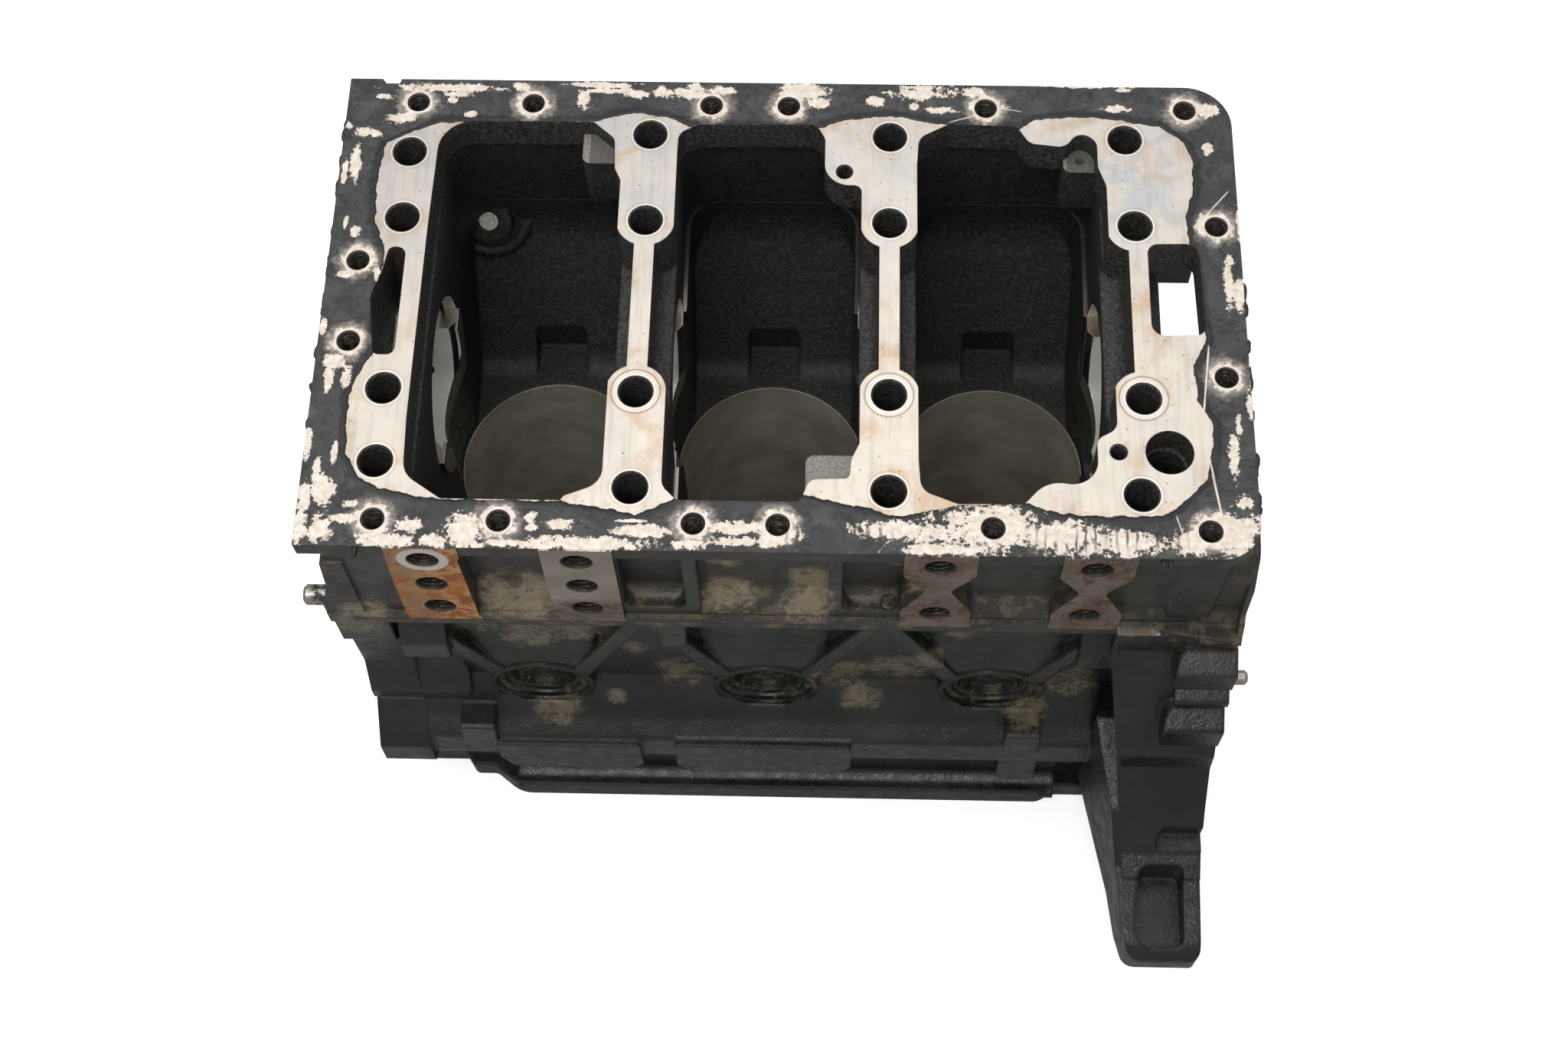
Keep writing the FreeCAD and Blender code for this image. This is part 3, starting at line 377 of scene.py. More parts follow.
# where the cream film lies bare on the rail: centre x and y, half length, half width
PATCHES = [
    (-149.3, -75.1, 3.7, 5.9), (-151.7, -66.9, 1.3, 3.9), (-154.6, -77.2, 2.1, 5.4),
    (-155, -88.8, 2.4, 6.2), (-148.3, -89.3, 3.9, 4.4), (-139.9, -85.1, 5.3, 1.5),
    (-139.4, -79.8, 2.5, 1.8), (-126, -93.2, 9.1, 3.2), (-118.1, -87.4, 3.8, 2.7),
    (-99.6, -89.6, 7.3, 6), (-109.2, -93.1, 4.9, 2.6), (-86, -93.4, 6.3, 1.2),
    (-77.2, -84, 2.5, 2), (-76.6, -87.3, 2.1, 1.4), (-67.7, -86.4, 4.4, 1.7),
    (-60.8, -93.4, 19.6, 2.7), (-38.3, -88.2, 10.2, 2.1), (-43.5, -84.6, 5, 0.6),
    (-22.8, -92.7, 6.1, 1.9), (-146.4, -60.8, 1, 4.4), (-155.9, -56.6, 1.4, 5.6),
    (-7.4, -86.6, 10.2, 2.5), (-5.1, -91.5, 12.3, 1.9), (7.6, -88.8, 7.1, 3.4),
    (49.6, -86.8, 14.5, 3.6), (61.7, -93.4, 13.6, 2), (79.7, -84.9, 17.6, 8.6),
    (101.9, -88.7, 15.1, 6), (123.1, -89.9, 12.7, 4.4), (145.7, -89.5, 7.1, 4.4),
    (158.6, -85.9, 10.4, 7.8), (164.1, -74.3, 2.9, 2.6), (-136.9, 78.2, 5.5, 2.2),
    (-119.7, 91.7, 19.6, 1.8), (-116.3, 89, 4.8, 1.3), (-118, 86.2, 2.5, 2),
    (-110.8, 80.1, 2.1, 1.3), (-92.6, 92.6, 3.3, 2), (-62.1, 93.8, 11.4, 1.3),
    (-60.5, 91, 10.4, 1), (-49.8, 90.2, 4.3, 2), (-40.1, 91, 3.3, 2.2), (-31.8, 90.7, 6.6, 2.3),
    (-28.2, 93.2, 2.9, 2.2), (-17.3, 91.9, 4.5, 1.8), (-149.8, 72.3, 2.9, 1.4),
    (-145.5, 70.7, 2.5, 1.3), (-155.6, 74.5, 1.4, 1.8), (-69.4, 87.4, 2.1, 4),
    (-143.5, 87.6, 3.8, 1.2), (12.7, 91.5, 8.1, 3.6), (17.8, 87.2, 4.4, 2.9),
    (38.5, 88, 2.8, 1.8), (55.4, 91.4, 10.2, 2.4), (56.1, 94.1, 7.8, 1.4), (53, 85.6, 1.7, 1.8),
    (62.3, 84.4, 5, 1.6), (74.8, 92.5, 3.9, 2.1), (117.4, 95.5, 16.1, 0.7),
    (126.4, 85.6, 4.5, 1.3), (129.5, 94.1, 3.1, 0.9), (160.3, 85.8, 3.9, 3.2),
    (160, 68.7, 1.5, 2.6), (159.6, 68.8, 1.7, 2.6), (155.9, 34.9, 2.3, 3.8),
    (164.7, 21.3, 1.7, 1.7), (163.8, 10.5, 1.6, 8.1), (167.7, 7.1, 2.8, 5.3),
    (170.2, -20, 0.9, 19.7), (161.6, -55, 1.6, 8.1), (163.9, -45.1, 1.1, 4.1),
    (169.3, 35.8, 0.9, 7), (168.7, -37.4, 1.3, 4.7), (-151.3, 58.6, 1.7, 8.2),
    (-155, 53.8, 0.9, 5.4), (-149.8, 71.7, 3.5, 2), (-152.3, 32.6, 0.9, 2.3),
    (-148.4, 28.8, 1.7, 2.2), (-139, 11.7, 1.2, 3.5), (-149.1, 10.9, 3.3, 1.6),
    (-150.2, -24.5, 3.7, 3.1), (-151.5, -31.4, 1.4, 5), (-145.2, -30.7, 1.6, 4.3),
    (-155.7, -10.7, 1.1, 3.2)]

# scratches through the sealant: start, stop, half width
SCRATCHES = [((155.5, -14), (151.5, -47), 0.45), ((151.5, -47), (154.5, -66), 0.4),
             ((154, -64), (158, -92), 0.5), ((141, -80), (144, -91), 0.3),
             ((148.5, -28), (150, -40), 0.3), ((156, 38), (166, 50), 0.3),
             ((66, 79), (88, 86), 0.25), ((72, 88), (92, 84), 0.2)]

# dust on the front walls of the two castings: x, y, z, reach
DUST_ON_RAIL = [(-86, -88, 10, 22), (-12, -87, 12, 15), (18, -88, 20, 16), (16, -92, 8, 14),
                (38, -86, 44, 13), (-143, -92, 4, 14), (52, -90, 34, 12), (-12, -87, 36, 9)]
DUST_ON_BLOCK = [(-104, -88, -22, 20), (-88, -86, -32, 20), (-70, -88, -28, 18),
                 (-150, -93, -10, 16), (-33, -90, -72, 16), (-50, -90, -50, 10),
                 (-84, -95, -94, 14), (-60, -92, -90, 6), (28, -90, -70, 18),
                 (118, -90, -74, 16), (62, -93, -46, 12), (73, -88, -30, 9),
                 (103, -95, -92, 13), (-60, -93, -8, 12), (37, -90, -88, 12),
                 (52, -86, -66, 18)]

# set sealant squeezed out on the right, left and front edges of the rail
LUMPS = [(169.5, y, 60.2) for y in (9.5, 5.5, 2.0, -12.5, -24.0, -27.5, -40.0, -57.0, -60.0,
                                    -72.0, -76.0)]
LUMPS += [(-157.1, y, 60.3) for y in (76.0, 71.5, 60.0, 49.0, 46.0, 30.0, 17.5, 13.0, 1.0,
                                      -3.5, -20.0, -34.0, -48.0)]
LUMPS += [(136.0, -95.4, 60.2), (138.5, -95.4, 60.0), (-136.0, -95.3, 60.3)]

# ---------------------------------------------------------------- colours, in sRGB
IRON_LIT_AND_SHADED = ("#d3cbc0", "#cdc6be")               # milled iron, front and back of the pan face; the darker back tone is painted shade
# blue-grey painted shade for the back of the pan face; brown stain
BLUE_SHADE, BROWN_STAIN = "#b5b8bb", "#c2a07d"
TOOL_MARK, IRON_PIT = "#8f8a84", "#5b4c3e"
BLOCK_PAINT = ("#131311", "#201f1d")
# lighter copy of the black enamel for the walls from the joint up: painted light on the upper
# walls
PAINT_LIT_ABOVE = ("#272623", "#3a3833")
# milled end faces and head face
END_IRON, END_STAIN = ("#8f8a82", "#b1aca3"), "#857158"
CREAM = ("#dccdbc", "#f4ede5")              # film left where the sealant is scraped off
SEALANT = ("#2f2f30", "#464647")
# pale smears, tears and the edge bead of the sealant; stain that crept out of it
SMEAR, TEAR, BEAD, SEEP = "#7f7b76", "#121213", "#171718", "#b28f6a"
SPOT_FACE, SPOT_EDGE = "#eeebe6", "#8f7a66"
PAD_GREY, PAD_STAIN, PAD_RUST = ("#665a4e", "#82776b"), "#5d4030", "#6d4430"
PAD_PALE = ("#8a8279", "#9d9388")
ORANGE_RUST, DEEP_RUST, OLD_RUST = ("#8c4610", "#b98a55"), "#a9560f", "#8b6a4c"
WASHER_MARK = "#c5bfb6"
LEDGE_DUST, UNDER_DIRT, STREAK_DIRT = "#6f6249", "#7d6547", "#7a6549"
RAIL_DUST, BLOCK_DUST = ("#74684f", "#b3a58b"), ("#665d4a", "#9c8f74")
BAY_WALL, BLOCK_WALL = ("#171615", "#312f2d"), ("#181716", "#33312f")
# grey speckle at the bay rims and the lug top; near-white painted light in the lug's hole, for
# light seen through it
BAY_RIM, LUG, LUG_HOLE_LIGHT = "#6a6663", ("#706d69", "#9a9691"), "#e9e5dd"
RAIL_SADDLE, BLOCK_SADDLE, CHEEK = ("#c9c7c3", "#e4e3e0"), "#dddbd8", "#8f8b84"
HOLE_SHADE = "#2a2725"
HONED = ("#bdb6a8", "#dcd6c9")
CUP_PAINT, CUP_TORN, CUP_RUST = "#1c1c1b", "#5a5238", "#8a7b52"
PIN_STEEL, PIN_PAINT = ("#8f8a84", "#bdb9b3"), "#1d1d1c"
# near-white tones of the pale plug: painted light seen through the hole in its boss
PALE_PLUG_LIGHT = ("#c9c6bd", "#eceae4")
OLD_ZINC = ("#6e6a58", "#2b2823")
SET_SEALANT = ("#161617", "#39393a")
THREAD = ("#2a2622", "#6d665c")


# ---------------------------------------------------------------- finishes
# f.cloud(start, stop, size, detail, rough, twist) is a patchy mask, with size in mm
def bare_metal(f):
    # milled iron: pale, with brown stains and dark specks, and painted shade: darker towards the
    # back, with faint blue-grey patches at the back and the back right
    stain = f.cloud(0.48, 0.70, 22, 6, 0.66, 0.4, seed=11)
    # painted shade: the face darker towards the back, and blue-grey patches stronger at the back
    # and the back right
    far = f.step(f.y, -20, 70)
    back_shade_weight = f.top(f.mix(far, 0.12, 0.55), f.times(far, f.step(f.x, 80, 130)))
    blue = f.times(f.cloud(0.40, 0.60, 15, 5, 0.65, 0.6, seed=31), back_shade_weight)
    color = f.blend(far, *IRON_LIT_AND_SHADED)
    color = f.blend(blue, color, BLUE_SHADE)
    color = f.blend(f.times(stain, 0.75), color, BROWN_STAIN)
    streak = f.cloud(0.45, 0.7, 3.0, 4, 0.6, stretch=(1.6, 0.12, 1), seed=51)
    color = f.blend(f.times(streak, 0.22), color, TOOL_MARK)
    speck = f.step(f.cells(4.3), 0.11, 0.06)
    color = f.blend(f.times(speck, 0.6), color, IRON_PIT)
    rough = f.mix(f.noise(9, 3), 0.30, 0.48)
    return color, rough


def enamel(f):
    # black paint over a sand-cast skin, painted lighter from the joint up as light
    # on the upper walls; gives the colour, the roughness and the two heights of the skin
    grain = f.noise(1.1, 2.0, 0.6)
    swell = f.noise(9.0, 3.0, 0.5)
    patchy = f.cloud(0.35, 0.7, 30, 3)
    # painted light: lighter grey from the joint up, where the upper walls catch more light
    lit_upper = f.step(f.z, -14, 6)
    color = f.blend(lit_upper, f.blend(patchy, *BLOCK_PAINT), f.blend(patchy, *PAINT_LIT_ABOVE))
    rough = f.plus(f.mix(f.cloud(0.3, 0.7, 6.0, 4, 0.65), 0.20, 0.42), f.times(lit_upper, 0.12))
    return color, rough, grain, swell


def cast_skin(f, normal, grain, swell, machined, depth):
    # relief of the sand casting wherever nothing is machined
    cast = f.without(machined)
    normal = f.bump(f.times(grain, cast), 0.22, normal, 0.9)
    return f.bump(f.times(swell, cast), depth, normal, 0.5)


def cut_ends(f):
    # faces milled for the timing cover, the bell housing and the head
    ends = f.top(f.times(f.step(f.nx, -0.9, -0.97),
                         f.step(f.x, TIMING_FACE + 0.6, TIMING_FACE + 0.2)),
                 f.times(f.step(f.nx, 0.9, 0.97),
                         f.step(f.x, BELL_FACE - 0.6, BELL_FACE - 0.2)),
                 f.times(f.step(f.nz, -0.9, -0.97),
                         f.step(f.z, HEAD_FACE + 0.6, HEAD_FACE + 0.2)))
    tone = f.blend(f.cloud(0.35, 0.7, 18, 5, 0.65), *END_IRON)
    return ends, f.blend(f.cloud(0.55, 0.7, 12, 5, 0.7, seed=87), tone, END_STAIN)


def dust_at(f, places, tones):
    # soft tan patches about some points (x, y, z, reach), and their colour
    mask = reduce(f.top, (f.step(f.distance((x, y, z)), reach, reach * 0.15)
                          for x, y, z, reach in places))
    torn = f.plus(f.times(f.noise(7.0, 4, 0.6, seed=5), 0.5),
                  f.times(f.noise(1.6, 4, 0.8, stretch=(0.6, 1, 1), seed=6), 0.6))
    dust = f.times(f.step(f.plus(f.times(mask, 0.16), torn), 0.53, 0.74),
                   f.step(mask, 0.0, 0.4))
    return dust, f.blend(f.noise(9, 4, 0.7, seed=71), *tones)


def outside_lands(f):
    # how far a point of the pan face lies outside the machined lands
    wobble = f.times(f.minus(f.noise(5.0, 3), 0.5), 3.0)
    back = f.minus(f.y, f.curve(f.x, BACK, SPAN_X, SPAN_Y))
    front = f.minus(f.curve(f.x, FRONT, SPAN_X, SPAN_Y), f.y)
    left = f.minus(f.curve(f.y, LEFT, SPAN_Y, SPAN_X), f.x)
    right = f.minus(f.x, f.curve(f.y, RIGHT, SPAN_Y, SPAN_X))
    return f.plus(f.top(back, front, left, right), wobble)


def scraped(f, hole):
    # where the sealant is scraped down to its cream film: round the pan holes, in
    # torn patches and flecks, between comb-like streaks, and along scratches
    ragged = f.plus(hole, f.times(f.minus(f.noise(3.2, 6, 0.75, seed=57), 0.5), 11.0))
    ring = f.top(f.step(hole, 5.6, 4.8), f.step(ragged, 6.6, 5.2))
    haze = f.times(f.step(ragged, 9.5, 5.0), 0.42)      # fades out round the ring
    spot = reduce(f.low, (f.distance((x, y, 0), (1.0 / half_long, 1.0 / half_wide, 0))
                          for x, y, half_long, half_wide in PATCHES))
    shred = f.plus(f.times(f.noise(8.0, 6, 0.7, 0.6, seed=3), 2.4),
                   f.times(f.noise(2.2, 5, 0.8, seed=19), 3.0))
    clear = f.step(f.plus(spot, f.minus(shred, 2.72)), 1.02, 0.94)
    fleck = f.cloud(0.67, 0.70, 2.0, 5, 0.8, seed=63)
    clear = f.top(clear, f.times(fleck, 0.8), haze, ring)

    def comb(pitch, twist, start, x_range, x_soft, y_range):
        teeth = f.times(f.step(f.wave(pitch, "X", twist), start, 0.95), 0.8)
        return f.times(teeth, f.inside(f.x, *x_range, x_soft), f.inside(f.y, *y_range, 2))

    combed = f.top(f.times(comb(3.4, 3.2, 0.74, (92, 142), 6, (-93, -82)),
                           f.cloud(0.4, 0.55, 12, 2)),
                   comb(3.9, 3.0, 0.66, (10, 44), 5, (-93, -86)))
    clear = f.times(clear, f.without(combed))
    return f.top(clear, reduce(f.top, (f.scratch(*mark) for mark in SCRATCHES)))


def pan_face_color(f, out, sealant, clear, bare):
    # bare lands stained beside the sealant, grey sealant with a dark bead at its
    # edge, and the cream film
    cream = f.blend(f.cloud(0.35, 0.7, 2.4, 5, 0.7, 0.3, seed=7), *CREAM)
    gum = f.blend(f.cloud(0.35, 0.7, 9.0, 6, 0.7), *SEALANT)
    smear = f.cloud(0.52, 0.72, 9.0, 6, 0.72, stretch=(0.45, 1.3, 1), seed=37)
    gum = f.blend(f.times(smear, 0.28), gum, SMEAR)
    tear = f.inside(f.noise(11.0, 5, 0.7, 0.8, seed=77), 0.485, 0.515, 0.008)
    gum = f.blend(f.times(tear, 0.75), gum, TEAR)
    bead = f.times(f.step(out, 3.8, 1.2), f.mix(f.noise(8, 3, seed=65), 0.5, 1.0))
    gum = f.blend(bead, gum, BEAD)
    seep = f.times(f.step(out, -5.0, -0.5), f.cloud(0.48, 0.66, 9, 5, 0.7, seed=83))
    bare = f.blend(f.times(seep, 0.45), bare, SEEP)
    return f.blend(sealant, bare, f.blend(clear, gum, cream))


def bolt_rings(f, color, land):
    # bright collars and rubbed edges round the main bolt holes
    spot = f.nearest(SPOT_FACES)
    bolt = f.nearest(MAIN_HOLES)
    collar = f.top(f.step(spot, SPOT_R + 0.2, SPOT_R), f.inside(bolt, *BOLT_RIM, 0.25))
    edge = f.top(f.inside(spot, SPOT_R, SPOT_R + 0.8, 0.25),
                 f.times(f.inside(bolt, *BOLT_EDGE, 0.3), 0.35))
    color = f.blend(f.times(collar, land, 0.5), color, SPOT_FACE)
    return f.blend(f.times(edge, land, 0.6), color, SPOT_EDGE)


def front_pads(f):
    # mask of the milled pads, of the most rusted one, distance from the nearest
    # pad hole, and colour: orange rust on the first, grey on the second, brown rust
    pad = f.times(f.step(f.y, PAD_FACE + 0.3, PAD_FACE + 0.1), f.step(f.ny, -0.9, -0.97))
    strips = f.top(*[f.inside(f.x, *strip, 0.6) for strip in PAD_STRIPS])
    pad = f.times(pad, f.top(f.step(f.z, PAD_FOOT, PAD_FOOT + 0.4), strips))
    rust = f.noise(7.5, 6, 0.7, 0.8, seed=17)
    hole = reduce(f.low, (f.distance((x, 0, z), (1, 0, 1)) for x, z in PAD_HOLES))
    halo = f.step(hole, 12, 6)
    first = f.step(f.x, -95, -100)
    brown = f.blend(f.cloud(0.3, 0.7, 12, 4, seed=2), *PAD_GREY)
    brown = f.blend(f.cloud(0.48, 0.66, 6, 5, 0.7, 0.5, seed=23), brown, PAD_STAIN)
    brown = f.blend(f.times(halo, f.step(rust, 0.45, 0.62)), brown, PAD_RUST)
    orange = f.blend(f.step(rust, 0.42, 0.56), *ORANGE_RUST)
    orange = f.blend(f.cloud(0.48, 0.7, 16, 5, 0.65, seed=29), orange, DEEP_RUST)
    left = f.times(f.step(f.x, -111, -126), f.cloud(0.35, 0.6, 14, 4, 0.6, seed=33))
    orange = f.blend(left, orange, OLD_RUST)
    second = f.times(f.inside(f.x, -80, -40, 3), f.step(f.z, 14, 22))
    brown = f.blend(second, brown, f.blend(f.cloud(0.35, 0.7, 16, 4), *PAD_PALE))
    washer = f.step(f.distance((PAD_HOLES[0][0], PAD_FACE, PAD_HOLES[0][1])), 9.2, 8.6)
    orange = f.blend(f.times(washer, f.step(f.z, 40, 42)), orange, WASHER_MARK)
    return pad, first, hole, f.blend(first, brown, orange)


def rail_walls(f, paint):
    # dusty painted outside and dark speckled inside of the lower crankcase, with painted light in
    # the lug's hole
    dust, dust_color = dust_at(f, DUST_ON_RAIL, RAIL_DUST)
    ledge = f.times(f.step(f.nz, 0.25, 0.6), f.step(f.z, 50, 46), f.cloud(0.45, 0.6, 6, 5, 0.7))
    paint = f.blend(f.times(ledge, 0.55), paint, LEDGE_DUST)
    paint = f.blend(f.times(dust, 0.62), paint, dust_color)
    under = f.times(f.step(f.z, 3.2, 1.0), f.cloud(0.55, 0.68, 4, 5, 0.7, seed=13))
    paint = f.blend(under, paint, UNDER_DIRT)
    dark = f.blend(f.cloud(0.35, 0.7, 1.6, 2, 0.6), *BAY_WALL)
    rim = f.times(f.step(f.z, 15, 52), f.cloud(0.38, 0.72, 1.4, 3, 0.75, seed=61))
    dark = f.blend(f.times(rim, 0.6), dark, BAY_RIM)
    lug = f.times(f.step(f.nz, 0.8, 0.95), f.inside(f.z, 50, 57, 0.5))
    dark = f.blend(lug, dark, f.blend(f.cloud(0.3, 0.7, 0.9, 3, 0.7), *LUG))
    # painted light: the lug's hole drawn near-white, for light that shows through it
    lug_hole_light = f.times(f.step(f.nearest([LUG_AT]), LUG_HOLE_R + 0.1, LUG_HOLE_R),
                       f.step(f.z, 55.4, 55.0))
    return paint, f.blend(lug_hole_light, dark, LUG_HOLE_LIGHT)


def crankcase():
    # pale milled lands edged by dark sealant, scraped to cream film on the rail;
    # rusty pads on a dusty black front wall; dark bays with bright bearing seats
    f = Finish("iron_crankcase_milled_and_enamelled")
    face = f.times(f.step(f.nz, 0.8, 0.95), f.step(f.z, PAN_FACE - 1.2, PAN_FACE - 0.9))
    out = outside_lands(f)
    sealant = f.step(out, -0.15, 0.15)
    land = f.without(sealant)
    hole = f.nearest(PAN_HOLES)
    clear = scraped(f, hole)
    bare, bare_rough = bare_metal(f)
    top_color = pan_face_color(f, out, sealant, clear, bare)
    top_color = bolt_rings(f, top_color, land)
    gum_rough = f.mix(f.noise(5, 4), 0.38, 0.62)
    top_rough = f.mix(f.times(sealant, f.without(clear)), bare_rough, gum_rough)
    top_rough = f.mix(f.times(sealant, clear), top_rough, 0.5)
    pad, first, pad_hole, pad_color = front_pads(f)

    # walls, from the paint inwards
    inner = f.times(f.inside(f.x, *HOLLOW_X, 0.4), f.inside(f.y, *HOLLOW_Y, 0.2))
    bearing = f.times(f.step(f.off_crank(), CHEEK_R + 0.25, CHEEK_R + 0.1),
                      f.inside(f.x, *HOLLOW_X, 0.4))
    paint, paint_rough, grain, swell = enamel(f)
    paint, dark = rail_walls(f, paint)
    wall = f.blend(inner, paint, dark)
    wall = f.blend(bearing, wall, f.blend(f.noise(9, 4, 0.6), *RAIL_SADDLE))
    pad_bore = f.times(f.inside(pad_hole, 0, PAD_HOLE_R, 0.1), f.step(f.z, 1, 3))
    pan_bore = f.step(hole, PAN_HOLE_R + 0.1, PAN_HOLE_R)
    wall = f.blend(f.times(f.top(pan_bore, pad_bore), 0.6), wall, HOLE_SHADE)
    ends, end_color = cut_ends(f)
    wall = f.blend(ends, wall, end_color)

    color = f.blend(face, wall, top_color)
    color = f.blend(pad, color, pad_color)
    rough = f.mix(inner, paint_rough, 0.62)
    rough = f.mix(f.top(bearing, ends), rough, 0.34)
    rough = f.mix(face, rough, top_rough)
    rough = f.mix(pad, rough, 0.55)
    metal = f.top(f.times(face, land), f.times(bearing, 0.5))
    metal = f.top(f.times(metal, 0.95), f.times(face, clear, sealant, 0.25))
    metal = f.top(metal, f.times(ends, 0.8), f.times(pad, f.mix(first, 0.4, 0.0)))

    # relief; the renderer works each height out three times over, so the heights
    # stay simple and leave the scraped patches out, or the finish turns out black
    machined = f.top(face, pad, bearing)
    normal = f.soften(f.mix(machined, 1.5, 0.35))
    normal = cast_skin(f, normal, grain, swell, machined, 0.9)
    bead = f.times(sealant, f.step(out, 0.0, 0.8), f.step(out, 3.4, 1.2))
    skin = f.plus(f.times(sealant, f.noise(6, 6, 0.7, 0.2, seed=8), 0.9), bead)
    normal = f.bump(f.times(skin, face), 0.4, normal)
    feed = f.times(f.wave(0.55, "X", 0.6), face, land)
    normal = f.bump(feed, 0.012, normal, 0.6)
    pits = f.times(pad, f.noise(1.8, 5, 0.7, seed=41))
    normal = f.bump(pits, 0.25, normal, 0.8)
    return f.shade(color, rough, metal, normal)


def block():
    # black paint dulled by tan dust; inside, a dark speckled casting with pale
    # cross-hatched bores and bright bearing seats; milled end faces
    f = Finish("iron_block_enamelled")
    paint, paint_rough, grain, swell = enamel(f)
    dust, dust_color = dust_at(f, DUST_ON_BLOCK, BLOCK_DUST)
    paint = f.blend(f.times(dust, 0.5), paint, dust_color)
    streak = f.times(f.step(f.z, -8, -1), f.cloud(0.5, 0.65, 7, 5, 0.7, seed=6),
                     f.step(f.y, -80, -86))
    paint = f.blend(f.times(streak, 0.6), paint, STREAK_DIRT)

    hollow = f.times(f.inside(f.x, *BLOCK_HOLLOW_X, 0.3), f.inside(f.y, *BLOCK_HOLLOW_Y, 0.2),
                     f.step(f.z, -80, -70))
    honed = f.times(f.step(f.nearest(BORES), BORE_R + 0.25, BORE_R + 0.15),
                    f.step(f.z, BORE_END + 0.6, BORE_END))
    hollow = f.times(hollow, f.without(honed))
    dark = f.blend(f.cloud(0.4, 0.7, 1.5, 2, 0.6), *BLOCK_WALL)
    shaft = f.off_crank()
    upright = f.step(f.math("ABSOLUTE", f.nx), 0.8, 0.95)
    bearing = f.times(f.step(shaft, SADDLE_R + 0.25, SADDLE_R + 0.1), f.without(upright))
    rings = f.times(f.step(shaft, CHEEK_R + 0.2, CHEEK_R), upright, f.step(f.z, 0.5, 0.0))
    joint = f.times(f.step(f.z, -0.3, -0.1), f.step(f.nz, 0.8, 0.95), f.inside(f.x, *JOINT_X, 1))
    bare, _ = bare_metal(f)
    hatch = f.plus(f.wave(0.9, "DIAGONAL", 0.4), f.noise(3.0, 3, 0.6, stretch=(1, 1, 0.25)))
    bore_color = f.blend(f.cloud(0.35, 0.7, 24, 3, seed=15), *HONED)
    ends, end_color = cut_ends(f)

    color = f.blend(hollow, paint, dark)
    color = f.blend(honed, color, bore_color)
    color = f.blend(rings, color, CHEEK)
    color = f.blend(ends, color, end_color)
    color = f.blend(joint, color, bare)
    color = f.blend(bearing, color, BLOCK_SADDLE)
    rough = f.mix(hollow, paint_rough, 0.6)
    rough = f.mix(honed, rough, 0.40)
    rough = f.mix(f.top(rings, ends), rough, 0.35)
    rough = f.mix(f.top(bearing, joint), rough, 0.22)
    metal = f.top(f.times(bearing, 0.5), f.times(joint, 0.95), f.times(honed, 0.4),
                  f.times(f.top(rings, ends), 0.8))
    machined = f.top(bearing, joint, honed, rings, ends)
    normal = f.soften(f.mix(machined, 2.2, 0.3))
    normal = cast_skin(f, normal, grain, swell, machined, 1.0)
    normal = f.bump(f.times(hatch, honed), 0.02, normal, 0.5)
    return f.shade(color, rough, metal, normal)


def pressed_steel():
    # cup plugs under worn black paint, olive and rusty where it is torn
    f = Finish("pressed_steel_painted_over")
    torn = f.cloud(0.5, 0.68, 5, 5, 0.7, 0.4)
    color = f.blend(torn, CUP_PAINT, CUP_TORN)
    color = f.blend(f.times(f.cloud(0.6, 0.7, 3, 4, 0.7, seed=4), 0.7), color, CUP_RUST)
    normal = f.bump(f.noise(1.2, 3, 0.6), 0.12, f.soften(0.6))
    return f.shade(color, f.mix(torn, 0.35, 0.6), f.times(torn, 0.3), normal)


def ground_steel():
    # grey pins, bright at the free end and black with paint nearer the casting
    f = Finish("ground_steel_with_paint_traces")
    paint = f.times(f.cloud(0.45, 0.55, 4, 4, 0.7), f.step(f.math("ABSOLUTE", f.x), 163, 160))
    color = f.blend(paint, f.blend(f.noise(2, 3), *PIN_STEEL), PIN_PAINT)
    normal = f.bump(f.noise(0.7, 3, 0.6), 0.05, f.soften(0.3))
    return f.shade(color, f.mix(paint, 0.32, 0.5), f.mix(paint, 0.95, 0.0), normal)


def mottled(name, tones, cloud, rough, metal, pits):
    # small plain piece: two tones in fine patches over a pitted skin
    f = Finish(name)
    pit_size, pit_detail, pit_depth = pits
    color = f.blend(f.cloud(*cloud), *tones)
    return f.shade(color, rough, metal, f.bump(f.noise(pit_size, pit_detail), pit_depth))


FINISHES = (
    ("lower_crankcase", crankcase()),
    ("cylinder_block", block()),
    (("core_plug", "gallery_plug"), pressed_steel()),
    (("dowel", "ring_dowel"), ground_steel()),
    # plug drawn almost white: painted light, for the light seen through the hole in its boss
    ("wall_plug", mottled("pale_plug_painted_light", PALE_PLUG_LIGHT, (0.4, 0.7, 1.5, 3), rough=0.5,
                          metal=0.2, pits=(0.5, 2, 0.03))),
    # plug with its zinc gone yellow-grey under black dirt
    ("oil_plug_front", mottled("zinc_plated_steel_dirty", OLD_ZINC, (0.4, 0.62, 1.8, 4, 0.7),
                               rough=0.42, metal=0.6, pits=(0.6, 2, 0.05))))
for start, finish in FINISHES:
    for name, node in NODES.items():
        if name.startswith(start):
            node.data.materials.clear()
            node.data.materials.append(finish)


# ---------------------------------------------------------------- added pieces
STEPS_PER_TURN, WIRE_SIDES = 24, 4
PAN_THREAD_DEPTH = 13.0         # below the pan face
PAD_THREAD_Y = -95.0            # a little behind the pad face
LUMP_SEED = 4
LUMP_NOISE = 520.0              # noise scale of the torn surface, per metre
LUMP_SINK = (0.5, 0.5, 0.9)     # middle of that noise, and lower in z


def socket(tree, name, kind, value=None, way="INPUT"):
    # one named socket of a node group; gives the identifier a modifier uses
    item = tree.interface.new_socket(name, in_out=way, socket_type=kind)
    if value is not None:
        item.default_value = value
    return item.identifier


def new_tree(name, inputs):
    # an empty Geometry Nodes tree with its named inputs and one output
    tree = bpy.data.node_groups.new(name, "GeometryNodeTree")
    ids = {key: socket(tree, key, kind, value) for key, kind, value in inputs}
    socket(tree, "Geometry", "NodeSocketGeometry", way="OUTPUT")
    return tree, ids, add(tree, "NodeGroupInput").outputs


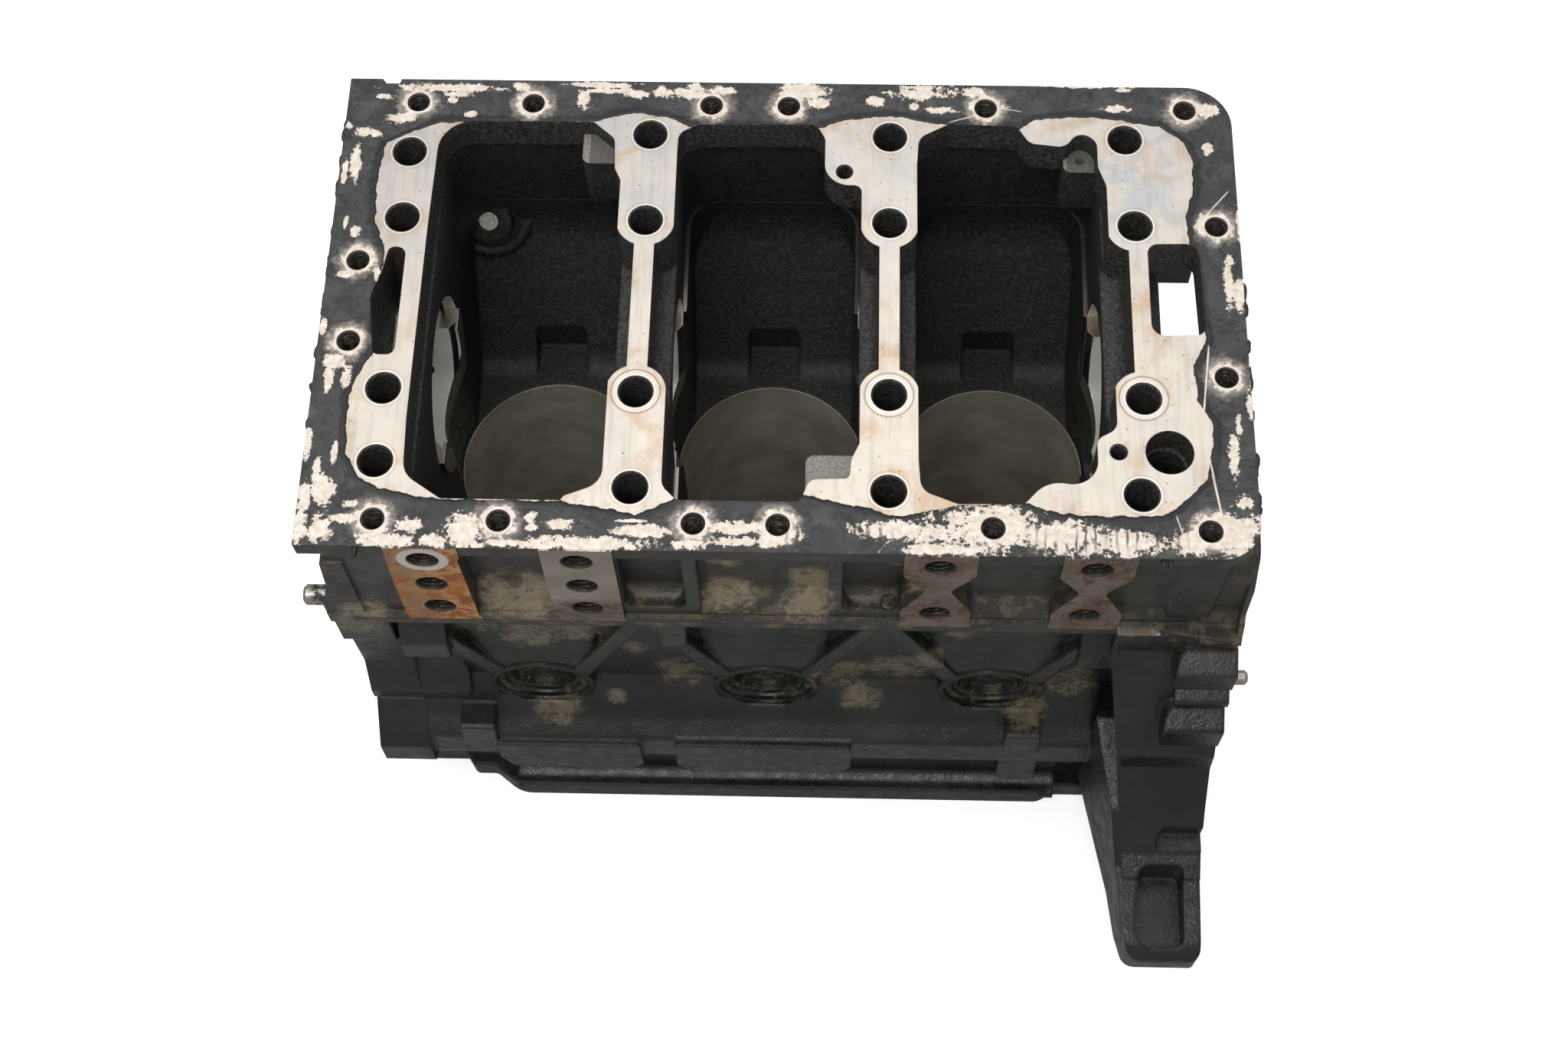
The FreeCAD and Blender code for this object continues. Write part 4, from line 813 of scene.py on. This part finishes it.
def thread_tree():
    # a helix of wire, laid in each hole whose start is a point of the input
    tree, ids, given = new_tree("tapped_threads", (
        ("Points", "NodeSocketGeometry", None), ("Radius", "NodeSocketFloat", 0.0034),
        ("Pitch", "NodeSocketFloat", 0.00125), ("Turns", "NodeSocketFloat", 9.0),
        ("Wire", "NodeSocketFloat", 0.0004), ("Tilt", "NodeSocketFloat", 0.0),
        ("Material", "NodeSocketMaterial", None)))
    height = add(tree, "ShaderNodeMath", {0: given["Pitch"], 1: given["Turns"]},
                 operation="MULTIPLY")
    helix = add(tree, "GeometryNodeCurveSpiral",
                {"Resolution": STEPS_PER_TURN, "Rotations": given["Turns"],
                 "Start Radius": given["Radius"], "End Radius": given["Radius"],
                 "Height": height.outputs[0]})
    wire = add(tree, "GeometryNodeCurvePrimitiveCircle",
               {"Resolution": WIRE_SIDES, "Radius": given["Wire"]})
    coil = add(tree, "GeometryNodeCurveToMesh",
               {"Curve": helix.outputs[0], "Profile Curve": wire.outputs[0],
                "Fill Caps": True})
    tilt = add(tree, "ShaderNodeCombineXYZ", {0: given["Tilt"]})
    many = add(tree, "GeometryNodeInstanceOnPoints",
               {"Points": given["Points"], "Instance": coil.outputs[0],
                "Rotation": tilt.outputs[0]})
    real = add(tree, "GeometryNodeRealizeInstances", {0: many.outputs[0]})
    done = add(tree, "GeometryNodeSetMaterial",
               {"Geometry": real.outputs[0], "Material": given["Material"]})
    add(tree, "NodeGroupOutput", {0: done.outputs[0]})
    return tree, ids


def lump_tree():
    # blobs of set sealant, one on each point, each with its own size
    tree, ids, given = new_tree("sealant_lumps", (
        ("Points", "NodeSocketGeometry", None),
        ("Least", "NodeSocketVector", (0.0006, 0.0015, 0.0008)),
        ("Most", "NodeSocketVector", (0.0014, 0.0042, 0.0016)),
        ("Rough", "NodeSocketFloat", 0.0012), ("Material", "NodeSocketMaterial", None)))
    ball = add(tree, "GeometryNodeMeshIcoSphere", {"Radius": 1.0, "Subdivisions": 3})
    size = add(tree, "FunctionNodeRandomValue",
               {0: given["Least"], 1: given["Most"], "Seed": LUMP_SEED},
               data_type="FLOAT_VECTOR")
    many = add(tree, "GeometryNodeInstanceOnPoints",
               {"Points": given["Points"], "Instance": ball.outputs[0],
                "Scale": size.outputs[0]})
    real = add(tree, "GeometryNodeRealizeInstances", {0: many.outputs[0]})
    noise = add(tree, "ShaderNodeTexNoise", {"Scale": LUMP_NOISE, "Detail": 2.0})
    shift = add(tree, "ShaderNodeVectorMath", {0: noise.outputs["Color"], 1: LUMP_SINK},
                operation="SUBTRACT")
    amount = add(tree, "ShaderNodeVectorMath", {0: shift.outputs[0], "Scale": given["Rough"]},
                 operation="SCALE")
    moved = add(tree, "GeometryNodeSetPosition",
                {"Geometry": real.outputs[0], "Offset": amount.outputs[0]})
    done = add(tree, "GeometryNodeSetMaterial",
               {"Geometry": moved.outputs[0], "Material": given["Material"]})
    add(tree, "NodeGroupOutput", {0: done.outputs[0]})
    return tree, ids


def grown(name, places, tree, ids, values):
    # runs the tree on points at some places in mm, keeps the result as a plain mesh
    mesh = bpy.data.meshes.new(name + "_points")
    mesh.from_pydata([(x * MM, y * MM, z * MM) for x, y, z in places], [], [])
    holder = link(bpy.data.objects.new(name + "_holder", mesh))
    live = holder.modifiers.new("grow", "NODES")
    live.node_group = tree
    for key, value in values.items():
        live[ids[key]] = value
    view = bpy.context.evaluated_depsgraph_get()
    result = bpy.data.meshes.new_from_object(holder.evaluated_get(view), depsgraph=view)
    result.name = name
    bpy.data.objects.remove(holder)
    piece = link(bpy.data.objects.new(name, result))
    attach(piece, "root")


# cut iron threads, dark and oily
threads = mottled("tapped_iron_oily", THREAD, (0.4, 0.7, 1.2, 3), rough=0.38, metal=0.6,
                  pits=(0.5, 2, 0.03))
tree, ids = thread_tree()
grown("pan_threads", [(x, y, PAN_FACE - PAN_THREAD_DEPTH) for x, y in PAN_HOLES], tree, ids,
      {"Radius": 3.35 * MM, "Pitch": 1.25 * MM, "Turns": 9.0, "Wire": 0.38 * MM,
       "Material": threads})
grown("pad_threads", [(x, PAD_THREAD_Y, z) for x, z in PAD_HOLES], tree, ids,
      {"Radius": 5.15 * MM, "Pitch": 1.5 * MM, "Turns": 6.0, "Wire": 0.45 * MM,
       "Tilt": -math.pi / 2, "Material": threads})
# black rubbery sealant with a faint sheen
rubber = mottled("set_sealant_rubbery", SET_SEALANT, (0.4, 0.7, 1.6, 3), rough=0.42, metal=0.0,
                 pits=(0.8, 3, 0.1))
tree, ids = lump_tree()
grown("sealant_lumps", LUMPS, tree, ids, {"Material": rubber})
